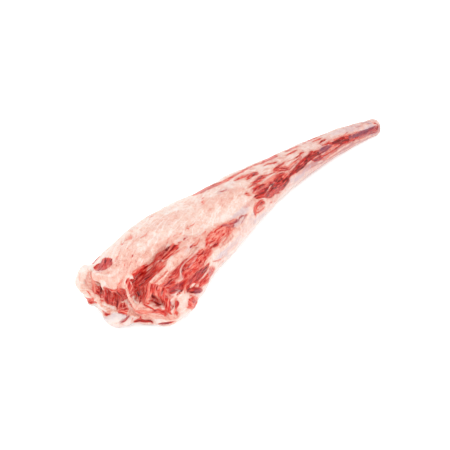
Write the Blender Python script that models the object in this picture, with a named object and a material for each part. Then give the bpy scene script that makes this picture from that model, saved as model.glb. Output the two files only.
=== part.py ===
"""A whole raw oxtail, skinned and uncut, lying on its belly: one closed solid.

The body is a loft of soft-cornered sections along a gently bent centre line, thick at the butt and
thin at the tip. Muscles stand out from it as ridges and the seams between them as clefts. The lumps
and folds of the butt, where the tail was cut from the animal, are fused on.

Metres, +Z up, +X from the butt to the tip, with the bottom centre of the box around it at the origin.
The near side is -Y. Angles round the body are in degrees from its top, plus towards -Y.
"""

import math

import bmesh
import bpy
import numpy as np
from mathutils import Matrix, Vector, noise

# Driving dimensions.
CENTRE_LINE = 0.500     # length of the centre line
TIP_CUT = 0.985         # share of it where the tip is cut off
BEND = 22.4             # degrees that the centre line turns from butt to tip
BUTT_SKEW = 8.0         # degrees by which the butt is cut off square
SKEW_FADE = 0.12        # share of the centre line over which sections turn square again
BUTT_DOME = 0.016       # how far the butt's face stands out from its rim
TIP_DOME = 0.003
CORNER = 2.25           # 2 is an ellipse, more is squarer
BELLY = 0.0012          # how much is pressed flat where the tail lies
BUTT_SPAN = 0.110       # the butt's face counts as this share of the centre line, rim to middle

# Share of the centre line, half the width, and height for one of width.
SECTIONS = (
    (0.00, 0.0550, 0.56),
    (0.04, 0.0600, 0.57),
    (0.10, 0.0605, 0.58),
    (0.25, 0.0500, 0.64),
    (0.40, 0.0398, 0.73),
    (0.57, 0.0273, 0.85),
    (0.74, 0.0193, 0.97),
    (0.90, 0.0137, 1.06),
    (1.00, 0.0100, 1.10),
)

STEPS_ALONG = 118
STEPS_ROUND = 76
BUTT_RINGS = 13
TIP_RINGS = 3
INNER_TURN = 88.5       # the dome's first ring, in degrees from its rim: just off its middle
TIP_TURN = 80.0
UNEVEN_SIZE = 0.022     # slow rise and fall of the whole surface, and how much
UNEVEN_DEPTH = 0.0009
FOOT = 1.5              # a ridge's foot reaches this many half widths out
LUMP_APART = 0.011      # how far apart two lumps must be to be uneven in another way
LUMP_BUMPS = 1.7        # how many bumps a lump has
STRAND_SIDES = 10
ROUND_ENDS = 10         # a strand's ends are the blunter, the higher this is
END_WIDTH = 0.02
CLEAR = 0.0004          # no lump reaches lower than this, so that none lies in the body's flat belly
WELD = 0.00002
GRAIN = 0.0018          # size of the even mesh in which the forms run together
SOFTEN = 2              # times that it is then smoothed
FLAT = 0.0006           # height at which the belly is pressed flat
PRESSED = 0.0002        # what is within this of it becomes flat too
TRIANGLES = 10200       # of the finished solid

MM = 0.001

# Ridges (plus) and clefts (minus) along the body. Each is: height, half width at its start, half width
# at its end, and the places it runs through as (share of the centre line, angle). Millimetres, degrees.
# A negative share is on the butt's face.
RELIEF = (
    # The fat cap over the loin end, and the shallow saddle behind it on the far side.
    (-2.4, 20, 16, ((-0.01, -56), (0.05, -56), (0.11, -60))),
    (2.6, 16, 14, ((0.20, -56), (0.30, -58))),
    (-2.4, 14, 10, ((0.36, -62), (0.43, -62))),
    (1.5, 14, 14, ((0.08, -12), (0.20, 0), (0.34, 8))),
    # The long double bundle in its cleft beside the cap.
    (-11.0, 12, 3, ((-0.045, 24), (0.00, 17), (0.05, 17), (0.10, 16), (0.145, 13))),
    (3.5, 5, 2, ((0.00, 8), (0.06, 11), (0.12, 13))),
    (4.5, 5, 2, ((-0.02, 25), (0.04, 23), (0.10, 19))),
    # The fat tongue, and the cleft below it.
    (3.0, 6, 4, ((0.03, 33), (0.09, 30), (0.15, 31), (0.21, 31))),
    (-5.0, 5, 3, ((0.01, 43), (0.06, 46), (0.10, 41), (0.15, 37))),
    # The marbled strip, the purple bundle, and the seams beside them.
    (-2.0, 10, 7, ((0.05, 54), (0.14, 48), (0.22, 45), (0.29, 44))),
    (2.2, 6, 4, ((0.05, 54), (0.14, 48), (0.22, 43), (0.28, 43))),
    (-2.2, 3, 2, ((0.00, 56), (0.07, 58), (0.13, 54))),
    (2.2, 6, 4, ((0.01, 63), (0.07, 64), (0.12, 60))),
    (-2.6, 3, 2, ((0.02, 70), (0.08, 70), (0.13, 66))),
    # The near flank: a full end, a red bundle and a waist.
    (3.2, 8, 6, ((0.04, 88), (0.08, 84), (0.115, 82))),
    (3.6, 13, 11, ((0.00, 118), (0.035, 108))),
    # A notch under the far corner of the butt.
    (-5.0, 9, 8, ((-0.02, -128), (0.04, -128))),
    (-4.8, 20, 16, ((0.165, 96), (0.22, 98))),
    # The big muscle at mid length in three bundles, its seams, and the loose bundle below it.
    (1.6, 15, 11, ((0.45, 50), (0.52, 55), (0.58, 62))),
    (1.2, 4, 3, ((0.44, 52), (0.51, 60), (0.57, 66))),
    (-1.6, 3, 2, ((0.45, 44), (0.52, 50), (0.58, 56))),
    (-1.8, 3, 2, ((0.43, 66), (0.50, 76), (0.57, 82))),
    (1.4, 6, 5, ((0.40, 70), (0.43, 76))),
    (1.0, 5, 4, ((0.46, 2), (0.50, 10), (0.57, 22))),
    # The bundles that follow it towards the tip.
    (1.6, 7, 5, ((0.61, 58), (0.66, 51), (0.72, 44))),
    (-1.2, 3, 2, ((0.60, 36), (0.66, 33), (0.71, 28))),
    (-1.3, 4, 3, ((0.72, 70), (0.76, 62))),
    (1.3, 5, 4, ((0.79, 52), (0.86, 46))),
    (-1.0, 3, 3, ((0.87, 56), (0.96, 50))),
    (0.9, 4, 3, ((0.62, -6), (0.72, -4), (0.82, 0))),
    # The seams beside the belly muscles.
    (-2.0, 5, 3, ((0.05, 134), (0.20, 138), (0.40, 142), (0.60, 144))),
)

# Necks between one tail bone and the next: share of the centre line.
NECKS = (0.425, 0.52, 0.605, 0.685, 0.755, 0.825, 0.89, 0.95)
NECK_DEPTH = 0.8 * MM
NECK_HALF_WIDTH = 0.013

# The far flank has the same muscles, less deep, a little further on and lower, from this angle.
FAR_DEPTH = 0.75
FAR_SHIFT = 0.012
FAR_TURN = 12
FAR_FROM = 24

# Relief of the butt's face, seen straight on: height, half width at both ends, and the places it runs
# through as (across, up), in millimetres. Across is plus towards the near side.
BUTT_RELIEF = (
    # The meat lies in a trough under the lip, with cavities and bundle ends in it.
    (-5.5, 10, 8, ((-36, 38), (-22, 36), (-8, 34), (5, 35))),
    (-5.0, 4, 4, ((-32, 44), (-29, 37))),
    (-3.0, 3, 3, ((-19, 42), (-15, 32))),
    (-4.0, 3, 3, ((-5, 41), (-8, 31))),
    (2.2, 3, 2, ((-25, 44), (-22, 32))),
    (2.2, 3, 2, ((-12, 43), (-12, 31))),
    # The slit in the far fat, and the crease that parts it from the lip.
    (-2.5, 2, 2, ((-48, 36), (-44, 24))),
    (-3.0, 3, 2, ((-42, 62), (-39, 50), (-35, 44))),
    # The cleft beside the flap, and the pocket below the round bundle's edge.
    (-3.0, 4, 3, ((17, 54), (17, 46), (21, 40))),
    (-8.0, 5, 4, ((34, 43), (41, 39))),
    # Seams round the gristle and along the rims.
    (-2.5, 3, 3, ((-28, 24), (-16, 25), (-2, 27), (8, 27), (17, 22))),
    (-2.2, 2, 2, ((8, 18), (20, 17.5), (34, 19), (48, 22))),
    # The swirl of the round bundle at the near corner.
    (-2.4, 2, 2, ((49, 27), (45, 36), (47, 46), (53, 51), (59, 46), (60, 36), (56, 29))),
    (-3.4, 3, 2, ((54, 43), (53, 35))),
    # The hollow under the lower rim.
    (-3.5, 4, 4, ((12, 5), (22, 6), (34, 6))),
)
BUTT_REACH = 0.030      # how far behind its rim this relief still acts
FACING = 2.0            # it fades in to full where 1 / FACING of the skin's normal points out of the butt


def interpolated(at, column):
    """A column of SECTIONS at these shares, on one smooth curve that never overshoots."""
    x = np.array([row[0] for row in SECTIONS])
    y = np.array([row[column] for row in SECTIONS])
    width = np.diff(x)
    slope = np.diff(y) / width
    tangent = np.concatenate([slope[:1], (slope[:-1] + slope[1:]) / 2, slope[-1:]])
    turns = np.where(slope[:-1] * slope[1:] <= 0)[0] + 1
    tangent[turns] = 0
    at = np.clip(at, x[0], x[-1])
    i = np.clip(np.searchsorted(x, at) - 1, 0, len(width) - 1)
    t = (at - x[i]) / width[i]
    near_start = y[i] * (1 + 2 * t) * (1 - t) ** 2 + tangent[i] * width[i] * t * (1 - t) ** 2
    near_end = y[i + 1] * t * t * (3 - 2 * t) + tangent[i + 1] * width[i] * t * t * (t - 1)
    return near_start + near_end


def centre_line():
    """Shares, x, y and heading of the centre line, whose mean heading is +X."""
    share = np.linspace(0, 1, 1001)
    heading = math.radians(BEND) * (1 / 3 - share**2)
    middle = (heading[1:] + heading[:-1]) / 2
    step = CENTRE_LINE * np.diff(share)
    x = np.concatenate([[0], np.cumsum(np.cos(middle) * step)])
    y = np.concatenate([[0], np.cumsum(np.sin(middle) * step)])
    return share, x, y, heading


LINE = centre_line()


def skin(share, angle, scale=1.0, out=0.0):
    """Points of the plain body. A scale under 1 and an out over 0 are on the butt's or tip's face."""
    share, angle, scale, out = np.broadcast_arrays(share, np.radians(angle), scale, out)
    x, y, heading = (np.interp(share, LINE[0], column) for column in LINE[1:])
    half_width = interpolated(share, 1)
    half_height = half_width * interpolated(share, 2)
    skew = math.radians(BUTT_SKEW) * np.exp(-share / SKEW_FADE)
    sine, cosine = np.sin(angle), np.cos(angle)
    reach = (np.abs(sine) ** CORNER + np.abs(cosine) ** CORNER) ** (-1 / CORNER)
    across = half_width * scale * sine * reach / np.cos(skew)
    up = half_height * scale * cosine * reach
    along = out * np.where(share < 0.5, -1, 1)
    return np.stack(
        [
            x + np.sin(heading + skew) * across + np.cos(heading) * along,
            y - np.cos(heading + skew) * across + np.sin(heading) * along,
            half_height + up - BELLY,
        ],
        -1,
    )


def on_skin(share, angle):
    """A place given as (share, angle); a negative share is on the butt's face."""
    if share >= 0:
        return skin(share, angle)
    scale = max(1 + share / BUTT_SPAN, 0.0)
    return skin(0.0, angle, scale, BUTT_DOME * math.sqrt(1 - scale**2))


def butt_frame():
    """Middle of the butt's rim on the ground, and the directions across, up and out of its face."""
    skew = math.radians(BUTT_SKEW)
    heading = LINE[3][0] + skew
    middle = np.array([LINE[1][0], LINE[2][0], 0.0])
    across = np.array([math.sin(heading), -math.cos(heading), 0.0])
    up = np.array([0.0, 0.0, 1.0])
    out = -np.array([math.cos(heading), math.sin(heading), 0.0])
    return middle, across, up, out


def at_butt(across, up, out):
    """A point at the butt, from millimetres across, up and out."""
    middle, *ways = butt_frame()
    return middle + MM * (across * ways[0] + up * ways[1] + out * ways[2])


def smooth_path(points, per_span=6):
    """A curve through the points, as a list of points."""
    if len(points) < 3:
        share = np.linspace(0, 1, 4)[:, None]
        return points[0] * (1 - share) + points[-1] * share
    ends = [2 * points[0] - points[1], *points, 2 * points[-1] - points[-2]]
    found = []
    for a, b, c, d in zip(ends, ends[1:], ends[2:], ends[3:]):
        for t in np.arange(per_span) / per_span:
            found.append(
                0.5 * (2 * b + (c - a) * t + (2 * a - 5 * b + 4 * c - d) * t**2
                       + (3 * b - a - 3 * c + d) * t**3)
            )
    return np.array([*found, points[-1]])


def raised(points, path, height, start_width, end_width):
    """How far a ridge along the path lifts each point: full on the path, none beyond its foot."""
    nearest = np.full(len(points), np.inf)
    lift = np.zeros(len(points))
    spans = len(path) - 1
    for i in range(spans):
        way = path[i + 1] - path[i]
        t = np.clip((points - path[i]) @ way / (way @ way), 0, 1)
        distance = np.linalg.norm(points - path[i] - t[:, None] * way, axis=1)
        width = FOOT * MM * (start_width + (end_width - start_width) * (i + t) / spans)
        part = np.clip(1 - (distance / width) ** 2, 0, 1) ** 2
        lift = np.where(distance < nearest, part, lift)
        nearest = np.minimum(nearest, distance)
    return lift * height * MM


def relief(points, share):
    """Height of the muscles, clefts and necks at each point of the plain body."""
    total = np.zeros(len(points))
    for height, start, end, places in RELIEF:
        path = smooth_path([on_skin(*place) for place in places])
        total += raised(points, path, height, start, end)
        if min(angle for _, angle in places) < FAR_FROM:
            continue
        far = smooth_path([on_skin(max(s, 0) + FAR_SHIFT, -angle - FAR_TURN) for s, angle in places])
        total += raised(points, far, height * FAR_DEPTH, start, end)
    for neck in NECKS:
        total -= NECK_DEPTH * np.exp(-(((share - neck) / NECK_HALF_WIDTH) ** 2))
    return total


def uneven(points, share):
    """A slow rise and fall of the surface, less where the tail is thin."""
    depth = UNEVEN_DEPTH * interpolated(share, 1) / SECTIONS[0][1]
    return depth * np.array([noise.noise(Vector(p) / UNEVEN_SIZE) for p in points])


def body_rings():
    """Points of the plain body, ring by ring from the middle of the butt to that of the tip."""
    angle = np.linspace(0, 360, STEPS_ROUND, endpoint=False)
    rings = []
    for turn in np.radians(np.linspace(INNER_TURN, 0, BUTT_RINGS, endpoint=False)):
        rings.append((0.0, math.cos(turn), BUTT_DOME * math.sin(turn)))
    for share in np.linspace(0, TIP_CUT, STEPS_ALONG):
        rings.append((share, 1.0, 0.0))
    for turn in np.radians(np.linspace(0, TIP_TURN, TIP_RINGS + 1)[1:]):
        rings.append((TIP_CUT, math.cos(turn), TIP_DOME * math.sin(turn)))
    points = np.concatenate([skin(share, angle, scale, out) for share, scale, out in rings])
    shares = np.repeat([share for share, _, _ in rings], STEPS_ROUND)
    return points, shares, len(rings)


def outward(points, rings):
    """Unit normals of the plain body's points."""
    grid = points.reshape(rings, STEPS_ROUND, 3)
    along = np.gradient(grid, axis=0)
    round_it = np.roll(grid, -1, axis=1) - np.roll(grid, 1, axis=1)
    normal = np.cross(round_it, along).reshape(-1, 3)
    return normal / np.maximum(np.linalg.norm(normal, axis=1), 1e-12)[:, None]


def mesh_object(name, mesh):
    made = bpy.data.meshes.new(name)
    mesh.to_mesh(made)
    mesh.free()
    thing = bpy.data.objects.new(name, made)
    bpy.context.scene.collection.objects.link(thing)
    return thing


def make_body():
    """The lofted body with its relief, pressed flat where it lies."""
    points, shares, rings = body_rings()
    normal = outward(points, rings)
    lift = relief(points, shares) + uneven(points, shares)
    points = points + normal * lift[:, None]
    points[:, 2] = np.maximum(points[:, 2], 0)
    mesh = bmesh.new()
    corners = [mesh.verts.new(p) for p in points]
    for ring in range(rings - 1):
        for i in range(STEPS_ROUND):
            j = (i + 1) % STEPS_ROUND
            a, b = ring * STEPS_ROUND, (ring + 1) * STEPS_ROUND
            mesh.faces.new([corners[a + i], corners[b + i], corners[b + j], corners[a + j]])
    for first in (0, (rings - 1) * STEPS_ROUND):
        mesh.faces.new(corners[first:first + STEPS_ROUND])
    bmesh.ops.recalc_face_normals(mesh, faces=mesh.faces)
    return mesh_object("oxtail", mesh)


def lump(name, place, radii, turn=0.0, lean=0.0, wobble=1.0, detail=3):
    """An uneven rounded lump at (across, up, out) with radii (across, up, out), all in millimetres.

    It is turned about the vertical and leans about the way out, in degrees.
    """
    mesh = bmesh.new()
    bmesh.ops.create_icosphere(mesh, subdivisions=detail, radius=1)
    _, across, up, out = butt_frame()
    ways = Matrix([across, up, out]).transposed()
    spin = Matrix.Rotation(math.radians(lean), 3, "Z") @ Matrix.Rotation(math.radians(turn), 3, "Y")
    middle = Vector(at_butt(*place))
    for vertex in mesh.verts:
        way = vertex.co.copy()
        size = Vector([way[i] * radii[i] * MM for i in range(3)])
        bump = wobble * MM * noise.noise(middle / LUMP_APART + way * LUMP_BUMPS)
        vertex.co = middle + ways @ (spin @ (size + way * bump))
        vertex.co.z = max(vertex.co.z, CLEAR)
    return mesh_object(name, mesh)


def strand(name, places, widths):
    """A fold or cord of flesh through places (across, up, out), as thick as its half widths say."""
    path = smooth_path([at_butt(*place) for place in places])
    share = np.linspace(0, 1, len(path))
    width = MM * np.interp(share, np.linspace(0, 1, len(widths)), widths)
    width *= np.sqrt(np.clip(1 - (2 * share - 1) ** ROUND_ENDS, END_WIDTH, 1))
    mesh = bmesh.new()
    rings = []
    for i, middle in enumerate(path):
        way = Vector(path[min(i + 1, len(path) - 1)] - path[max(i - 1, 0)]).normalized()
        side = way.cross(Vector((0, 0, 1))).normalized()
        over = side.cross(way)
        ring = []
        for turn in np.linspace(0, 2 * math.pi, STRAND_SIDES, endpoint=False):
            spot = Vector(middle) + float(width[i]) * (side * math.cos(turn) + over * math.sin(turn))
            spot.z = max(spot.z, CLEAR)
            ring.append(mesh.verts.new(spot))
        rings.append(ring)
    for before, after in zip(rings, rings[1:]):
        for k in range(STRAND_SIDES):
            j = (k + 1) % STRAND_SIDES
            mesh.faces.new([before[k], before[j], after[j], after[k]])
    mesh.faces.new(rings[0][::-1])
    mesh.faces.new(rings[-1])
    bmesh.ops.recalc_face_normals(mesh, faces=mesh.faces)
    return mesh_object(name, mesh)


def make_butt_forms():
    """What stands out from the butt: fat, gristle, bundle ends and folds."""
    return [
        # The fat at the far corner, with a small red tab under it.
        lump("far_fat", (-48.5, 36, -4), (12, 17, 16), lean=14, wobble=2.5),
        lump("far_fat_top", (-42, 46, -8), (8, 8, 11), wobble=2.0, detail=2),
        lump("far_tab", (-42, 13.5, 0), (7, 6, 8), wobble=1.5, detail=2),
        # The end of the first tail bone, in white gristle.
        lump("gristle", (-9, 11.5, 9), (16, 11, 15), turn=10, lean=-6, wobble=2.0),
        lump("gristle_side", (3, 11, 8), (12, 9, 11), wobble=1.5, detail=2),
        lump("gristle_rim", (-20, 16, 7), (9, 8, 9), wobble=1.5, detail=2),
        # The lip of the fat cap over the meat.
        lump("lip_far", (-31, 52, 3), (11, 6, 9), lean=16, wobble=2.0, detail=2),
        lump("lip_middle", (-13, 55, 6), (13, 5.5, 8), lean=-4, wobble=2.0),
        lump("lip_near", (-1, 53, 6), (7, 5.5, 7), wobble=1.5, detail=2),
        # The small curled flap at the lip's end, and the fold of fat running down from it.
        lump("flap", (9, 50, 5), (4.5, 10, 6), lean=30, turn=25, wobble=1.2, detail=2),
        strand("fold", ((3, 50, 9), (8, 41, 13), (15, 32, 14), (26, 27, 11), (40, 25, 4)),
               (3.4, 4.6, 5.4, 5.0, 3.5)),
        # The round muscle end at the near corner, and the lumps beside the pocket.
        lump("near_bundle", (51, 38, -9), (12, 14, 12), lean=-10, wobble=1.5),
        lump("pocket_lump", (40, 50, -5), (8, 7, 8), wobble=2.0, detail=2),
        lump("pocket_fat", (26, 44, 5), (5, 7, 6), lean=20, wobble=1.2, detail=2),
        lump("near_fat", (53, 22, -26), (11, 14, 15), turn=-20, wobble=2.0),
        # The pale rim along the lower edge.
        strand("lower_rim", ((6, 13, 12), (18, 13.5, 10), (30, 12, 6), (44, 12, -3), (56, 16, -14)),
               (5, 5, 4.6, 5, 5)),
        strand("inner_rim", ((0, 23, 12), (12, 20, 13), (24, 18, 11), (36, 18, 6)), (3, 4, 4, 3)),
        # Sinews and bundle ends in the meat.
        lump("bundle_end_far", (-34, 24, 8), (6, 5, 6), wobble=1.5, detail=2),
        lump("bundle_end_low", (-4, 22, 11), (9, 5.5, 6), lean=10, wobble=2.0, detail=2),
        lump("bundle_end_mid", (-18, 24, 9), (7, 4.5, 6), wobble=1.5, detail=2),
    ]


def fused(body, forms):
    """The body with all the forms joined to it by one Boolean union."""
    group = bpy.data.collections.new("butt_forms")
    bpy.context.scene.collection.children.link(group)
    for form in forms:
        bpy.context.scene.collection.objects.unlink(form)
        group.objects.link(form)
    join = body.modifiers.new("Fuse", "BOOLEAN")
    join.operation = "UNION"
    join.operand_type = "COLLECTION"
    join.collection = group
    graph = bpy.context.evaluated_depsgraph_get()
    whole = bpy.data.meshes.new_from_object(body.evaluated_get(graph))
    body.modifiers.clear()
    body.data = whole
    for form in forms:
        bpy.data.objects.remove(form)
    bpy.data.collections.remove(group)
    return body


def keep_one_body(thing):
    """Drops loose scraps, so that one closed surface is left."""
    mesh = bmesh.new()
    mesh.from_mesh(thing.data)
    bmesh.ops.triangulate(mesh, faces=mesh.faces)
    bmesh.ops.remove_doubles(mesh, verts=mesh.verts, dist=WELD)
    left = set(mesh.verts)
    pieces = []
    while left:
        piece, todo = set(), [left.pop()]
        while todo:
            vertex = todo.pop()
            piece.add(vertex)
            for edge in vertex.link_edges:
                other = edge.other_vert(vertex)
                if other in left:
                    left.remove(other)
                    todo.append(other)
        pieces.append(piece)
    pieces.sort(key=len)
    scraps = [vertex for piece in pieces[:-1] for vertex in piece]
    bmesh.ops.delete(mesh, geom=scraps, context="VERTS")
    mesh.to_mesh(thing.data)
    mesh.free()
    return len(pieces)


def softened(thing):
    """The forms run into each other like flesh: meshed afresh at an even size, and smoothed."""
    fresh = thing.modifiers.new("Even mesh", "REMESH")
    fresh.mode = "VOXEL"
    fresh.voxel_size = GRAIN
    soft = thing.modifiers.new("Soft seams", "SMOOTH")
    soft.iterations = SOFTEN
    graph = bpy.context.evaluated_depsgraph_get()
    even = bpy.data.meshes.new_from_object(thing.evaluated_get(graph))
    thing.modifiers.clear()
    thing.data = even
    return thing


def carved(thing):
    """The same, with the relief of the butt's face carved in."""
    middle, across, up, out = butt_frame()
    corners = np.array([tuple(v.co) for v in thing.data.vertices])
    normals = np.array([tuple(v.normal) for v in thing.data.vertices])
    place = corners - middle
    seen = np.stack([place @ across, place @ up], 1)
    faces_out = np.clip(FACING * normals @ out, 0, 1) * (place @ out > -BUTT_REACH)
    lift = np.zeros(len(corners))
    for height, start, end, places in BUTT_RELIEF:
        path = smooth_path(np.array(places) * MM)
        lift += raised(seen, path, height, start, end)
    corners += normals * (lift * faces_out)[:, None]
    corners[:, 2] = np.maximum(corners[:, 2], FLAT)
    for vertex, spot in zip(thing.data.vertices, corners):
        vertex.co = spot
    return thing


def lightened(thing):
    """The same shape in about TRIANGLES faces."""
    fewer = thing.modifiers.new("Fewer faces", "DECIMATE")
    fewer.ratio = TRIANGLES / sum(len(face.vertices) - 2 for face in thing.data.polygons)
    graph = bpy.context.evaluated_depsgraph_get()
    light = bpy.data.meshes.new_from_object(thing.evaluated_get(graph))
    thing.modifiers.clear()
    thing.data = light
    for vertex in light.vertices:
        if vertex.co.z < FLAT + PRESSED:
            vertex.co.z = FLAT
    return thing


def centred(thing):
    """Sets the bottom centre of the box around the thing at the origin."""
    corners = np.array([tuple(v.co) for v in thing.data.vertices])
    low, high = corners.min(0), corners.max(0)
    thing.data.transform(Matrix.Translation((*(-(low + high) / 2)[:2], -low[2])))
    return thing


def raw_meat():
    flesh = bpy.data.materials.new("raw_meat")
    flesh.use_nodes = True
    shader = flesh.node_tree.nodes["Principled BSDF"]
    shader.inputs["Base Color"].default_value = (0.78, 0.36, 0.29, 1)
    shader.inputs["Roughness"].default_value = 0.35
    return flesh


def main():
    for thing in list(bpy.data.objects):
        bpy.data.objects.remove(thing)
    oxtail = fused(make_body(), make_butt_forms())
    carved(softened(oxtail))
    pieces = keep_one_body(oxtail)
    centred(lightened(oxtail))
    oxtail.data.name = "oxtail"
    oxtail.data.materials.clear()
    oxtail.data.materials.append(raw_meat())
    oxtail.data.shade_smooth()
    print(len(oxtail.data.polygons), "faces from", pieces, "piece(s)")


main()
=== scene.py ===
# %% [markdown]
# # A whole raw oxtail
#
# An oxtail is a row of tail bones in tapering muscle. Skinned and uncut, it shows three tissues: a thick
# cream fat cap over the loin end, red muscle in long bundles, and thin milky membrane over both. The
# lesson takes the plain solid of the part and dresses it: first a fine skin, then the tissues laid on it
# bundle by bundle, then relief, finish, light and camera.

import itertools
import math

import bpy
import numpy as np
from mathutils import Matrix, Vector


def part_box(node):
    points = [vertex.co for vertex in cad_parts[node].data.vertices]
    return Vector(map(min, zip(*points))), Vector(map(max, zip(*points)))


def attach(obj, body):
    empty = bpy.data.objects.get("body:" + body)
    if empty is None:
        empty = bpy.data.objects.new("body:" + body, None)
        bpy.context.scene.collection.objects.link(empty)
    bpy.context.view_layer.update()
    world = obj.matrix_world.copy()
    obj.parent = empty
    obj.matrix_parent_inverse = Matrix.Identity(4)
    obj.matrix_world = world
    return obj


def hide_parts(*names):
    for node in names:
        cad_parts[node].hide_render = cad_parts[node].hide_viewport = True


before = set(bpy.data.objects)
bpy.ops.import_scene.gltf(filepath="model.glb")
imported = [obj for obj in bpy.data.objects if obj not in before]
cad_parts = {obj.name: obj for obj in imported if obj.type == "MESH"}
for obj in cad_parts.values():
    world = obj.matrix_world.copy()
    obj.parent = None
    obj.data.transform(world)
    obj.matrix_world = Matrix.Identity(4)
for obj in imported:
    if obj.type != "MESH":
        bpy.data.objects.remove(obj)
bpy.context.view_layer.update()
LOW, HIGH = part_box("oxtail")
MM = 0.001
print("solid, mm:", [round(side / MM, 1) for side in HIGH - LOW])

# %% [markdown]
# ## A fine skin over the solid
#
# The solid has broad facets, while fibres and torn membrane need points about a millimetre apart. One could
# subdivide it, but its triangles are uneven. So a copy has its facets joined and is rounded by one
# subdivision, then meshed afresh in even voxels, smoothed a little and thinned to a fixed number of faces.

# %% The skin
JOINED = 0.01 * MM      # points nearer than this become one
VOXEL = 0.92 * MM
SKIN_FACES = 196000
SKIN_SMOOTHING = 5      # rounds


def with_modifiers(thing, *steps):
    """Adds modifiers, each (type, settings), and applies them all to the thing's mesh."""
    for kind, settings in steps:
        modifier = thing.modifiers.new(kind.title(), kind)
        for name, value in settings.items():
            setattr(modifier, name, value)
    graph = bpy.context.evaluated_depsgraph_get()
    mesh = bpy.data.meshes.new_from_object(thing.evaluated_get(graph))
    thing.modifiers.clear()
    thing.data = mesh
    return thing


def triangles(thing):
    return sum(len(face.vertices) - 2 for face in thing.data.polygons)


def points_of(thing, what="co"):
    """Places or normals of all the thing's points, as rows."""
    if what == "normal":
        source = thing.data.vertex_normals
        what = "vector"
    else:
        source = thing.data.vertices
    rows = np.empty(len(source) * 3, np.float32)
    source.foreach_get(what, rows)
    return rows.reshape(-1, 3).astype(float)


skin = bpy.data.objects.new("oxtail_skin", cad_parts["oxtail"].data.copy())
bpy.context.scene.collection.objects.link(skin)
with_modifiers(
    skin,
    ("WELD", {"merge_threshold": JOINED}),
    ("SUBSURF", {"levels": 1, "render_levels": 1}),
    ("REMESH", {"mode": "VOXEL", "voxel_size": VOXEL}),
    ("SMOOTH", {"iterations": SKIN_SMOOTHING}),
)
with_modifiers(skin, ("DECIMATE", {"ratio": min(1.0, SKIN_FACES / triangles(skin))}))
SPOTS = points_of(skin)
NORMALS = points_of(skin, "normal")
print("skin:", triangles(skin), "triangles,", len(SPOTS), "points")

# %% [markdown]
# ## Clefts and ridges
#
# Clefts are reddened later on, as painted shade tinted by the red light that bounces about in them, and
# ridges paled, as painted highlight. One could cast rays to see how open each point lies; easing a copy of
# the skin is quicker, for the way a point moves then tells whether it lay in a cleft or on a ridge. Where it
# hardly moved the skin is plain, and there it takes the eased shape, which clears the faint rings that the
# solid's rows of facets leave.

# %% Clefts
EASING = 60                   # rounds of smoothing
STILL, STIRRED = 0.12, 0.42   # mm: plain up to the first, with clefts or ridges from the second on
eased = bpy.data.objects.new("eased", skin.data.copy())
bpy.context.scene.collection.objects.link(eased)
with_modifiers(eased, ("SMOOTH", {"iterations": EASING}))
CLEFT = ((points_of(eased) - SPOTS) * NORMALS).sum(1) / MM   # mm: above 0 in a cleft, below it on a ridge
bpy.data.objects.remove(eased)
PLAIN = 1 - np.clip((np.abs(CLEFT) - STILL) / (STIRRED - STILL), 0, 1)
SPOTS += NORMALS * (CLEFT * PLAIN * MM)[:, None]
print("clefts:", CLEFT.min().round(2), "to", CLEFT.max().round(2), "mm")

# %% [markdown]
# ## Places on the tail
#
# A butcher finds a place on a tail by how far it lies from the butt, and how far round from the back. The
# same two numbers serve here: the share of the length, and the angle from the top, plus towards the near
# side. They follow the bend and the taper, so a bundle is one short row of numbers. The cut face of the
# butt has its own flat chart, in millimetres across and up.

# %% The tail's own chart
LENGTH = 0.500          # of the centre line
BEND = math.radians(22.4)
SKEW = math.radians(8)  # by which the butt is cut off square
SKEW_FADE = 0.12        # share over which the cross sections turn square again
PRESSED = 1.2 * MM      # by which the belly is pressed flat
STEPS = 400             # of the centre line
AT_ONCE = 8000          # points charted together, to spare memory
PLACES, ROUNDING = 201, 13   # along SECTIONS, and how many of them are averaged
RIM = np.array([LOW.x + 0.0265, LOW.y + 0.06016, LOW.z - 0.0006])  # middle of the butt's rim
# Share of the length, half the width in metres, and height for one of width.
SECTIONS = np.array([
    (0.00, 0.0550, 0.56), (0.04, 0.0600, 0.57), (0.10, 0.0605, 0.58), (0.25, 0.0500, 0.64),
    (0.40, 0.0398, 0.73), (0.57, 0.0273, 0.85), (0.74, 0.0193, 0.97), (0.90, 0.0137, 1.06),
    (1.00, 0.0100, 1.10),
])


def section(share, column):
    """A column of SECTIONS at these shares, on a curve that passes through its rows smoothly."""
    fine = np.linspace(0, 1, PLACES)
    value = np.interp(fine, SECTIONS[:, 0], SECTIONS[:, column])
    window = np.ones(ROUNDING) / ROUNDING
    rounded = np.convolve(np.pad(value, ROUNDING // 2, mode="edge"), window, mode="valid")
    return np.interp(np.clip(share, 0, 1), fine, rounded)


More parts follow.
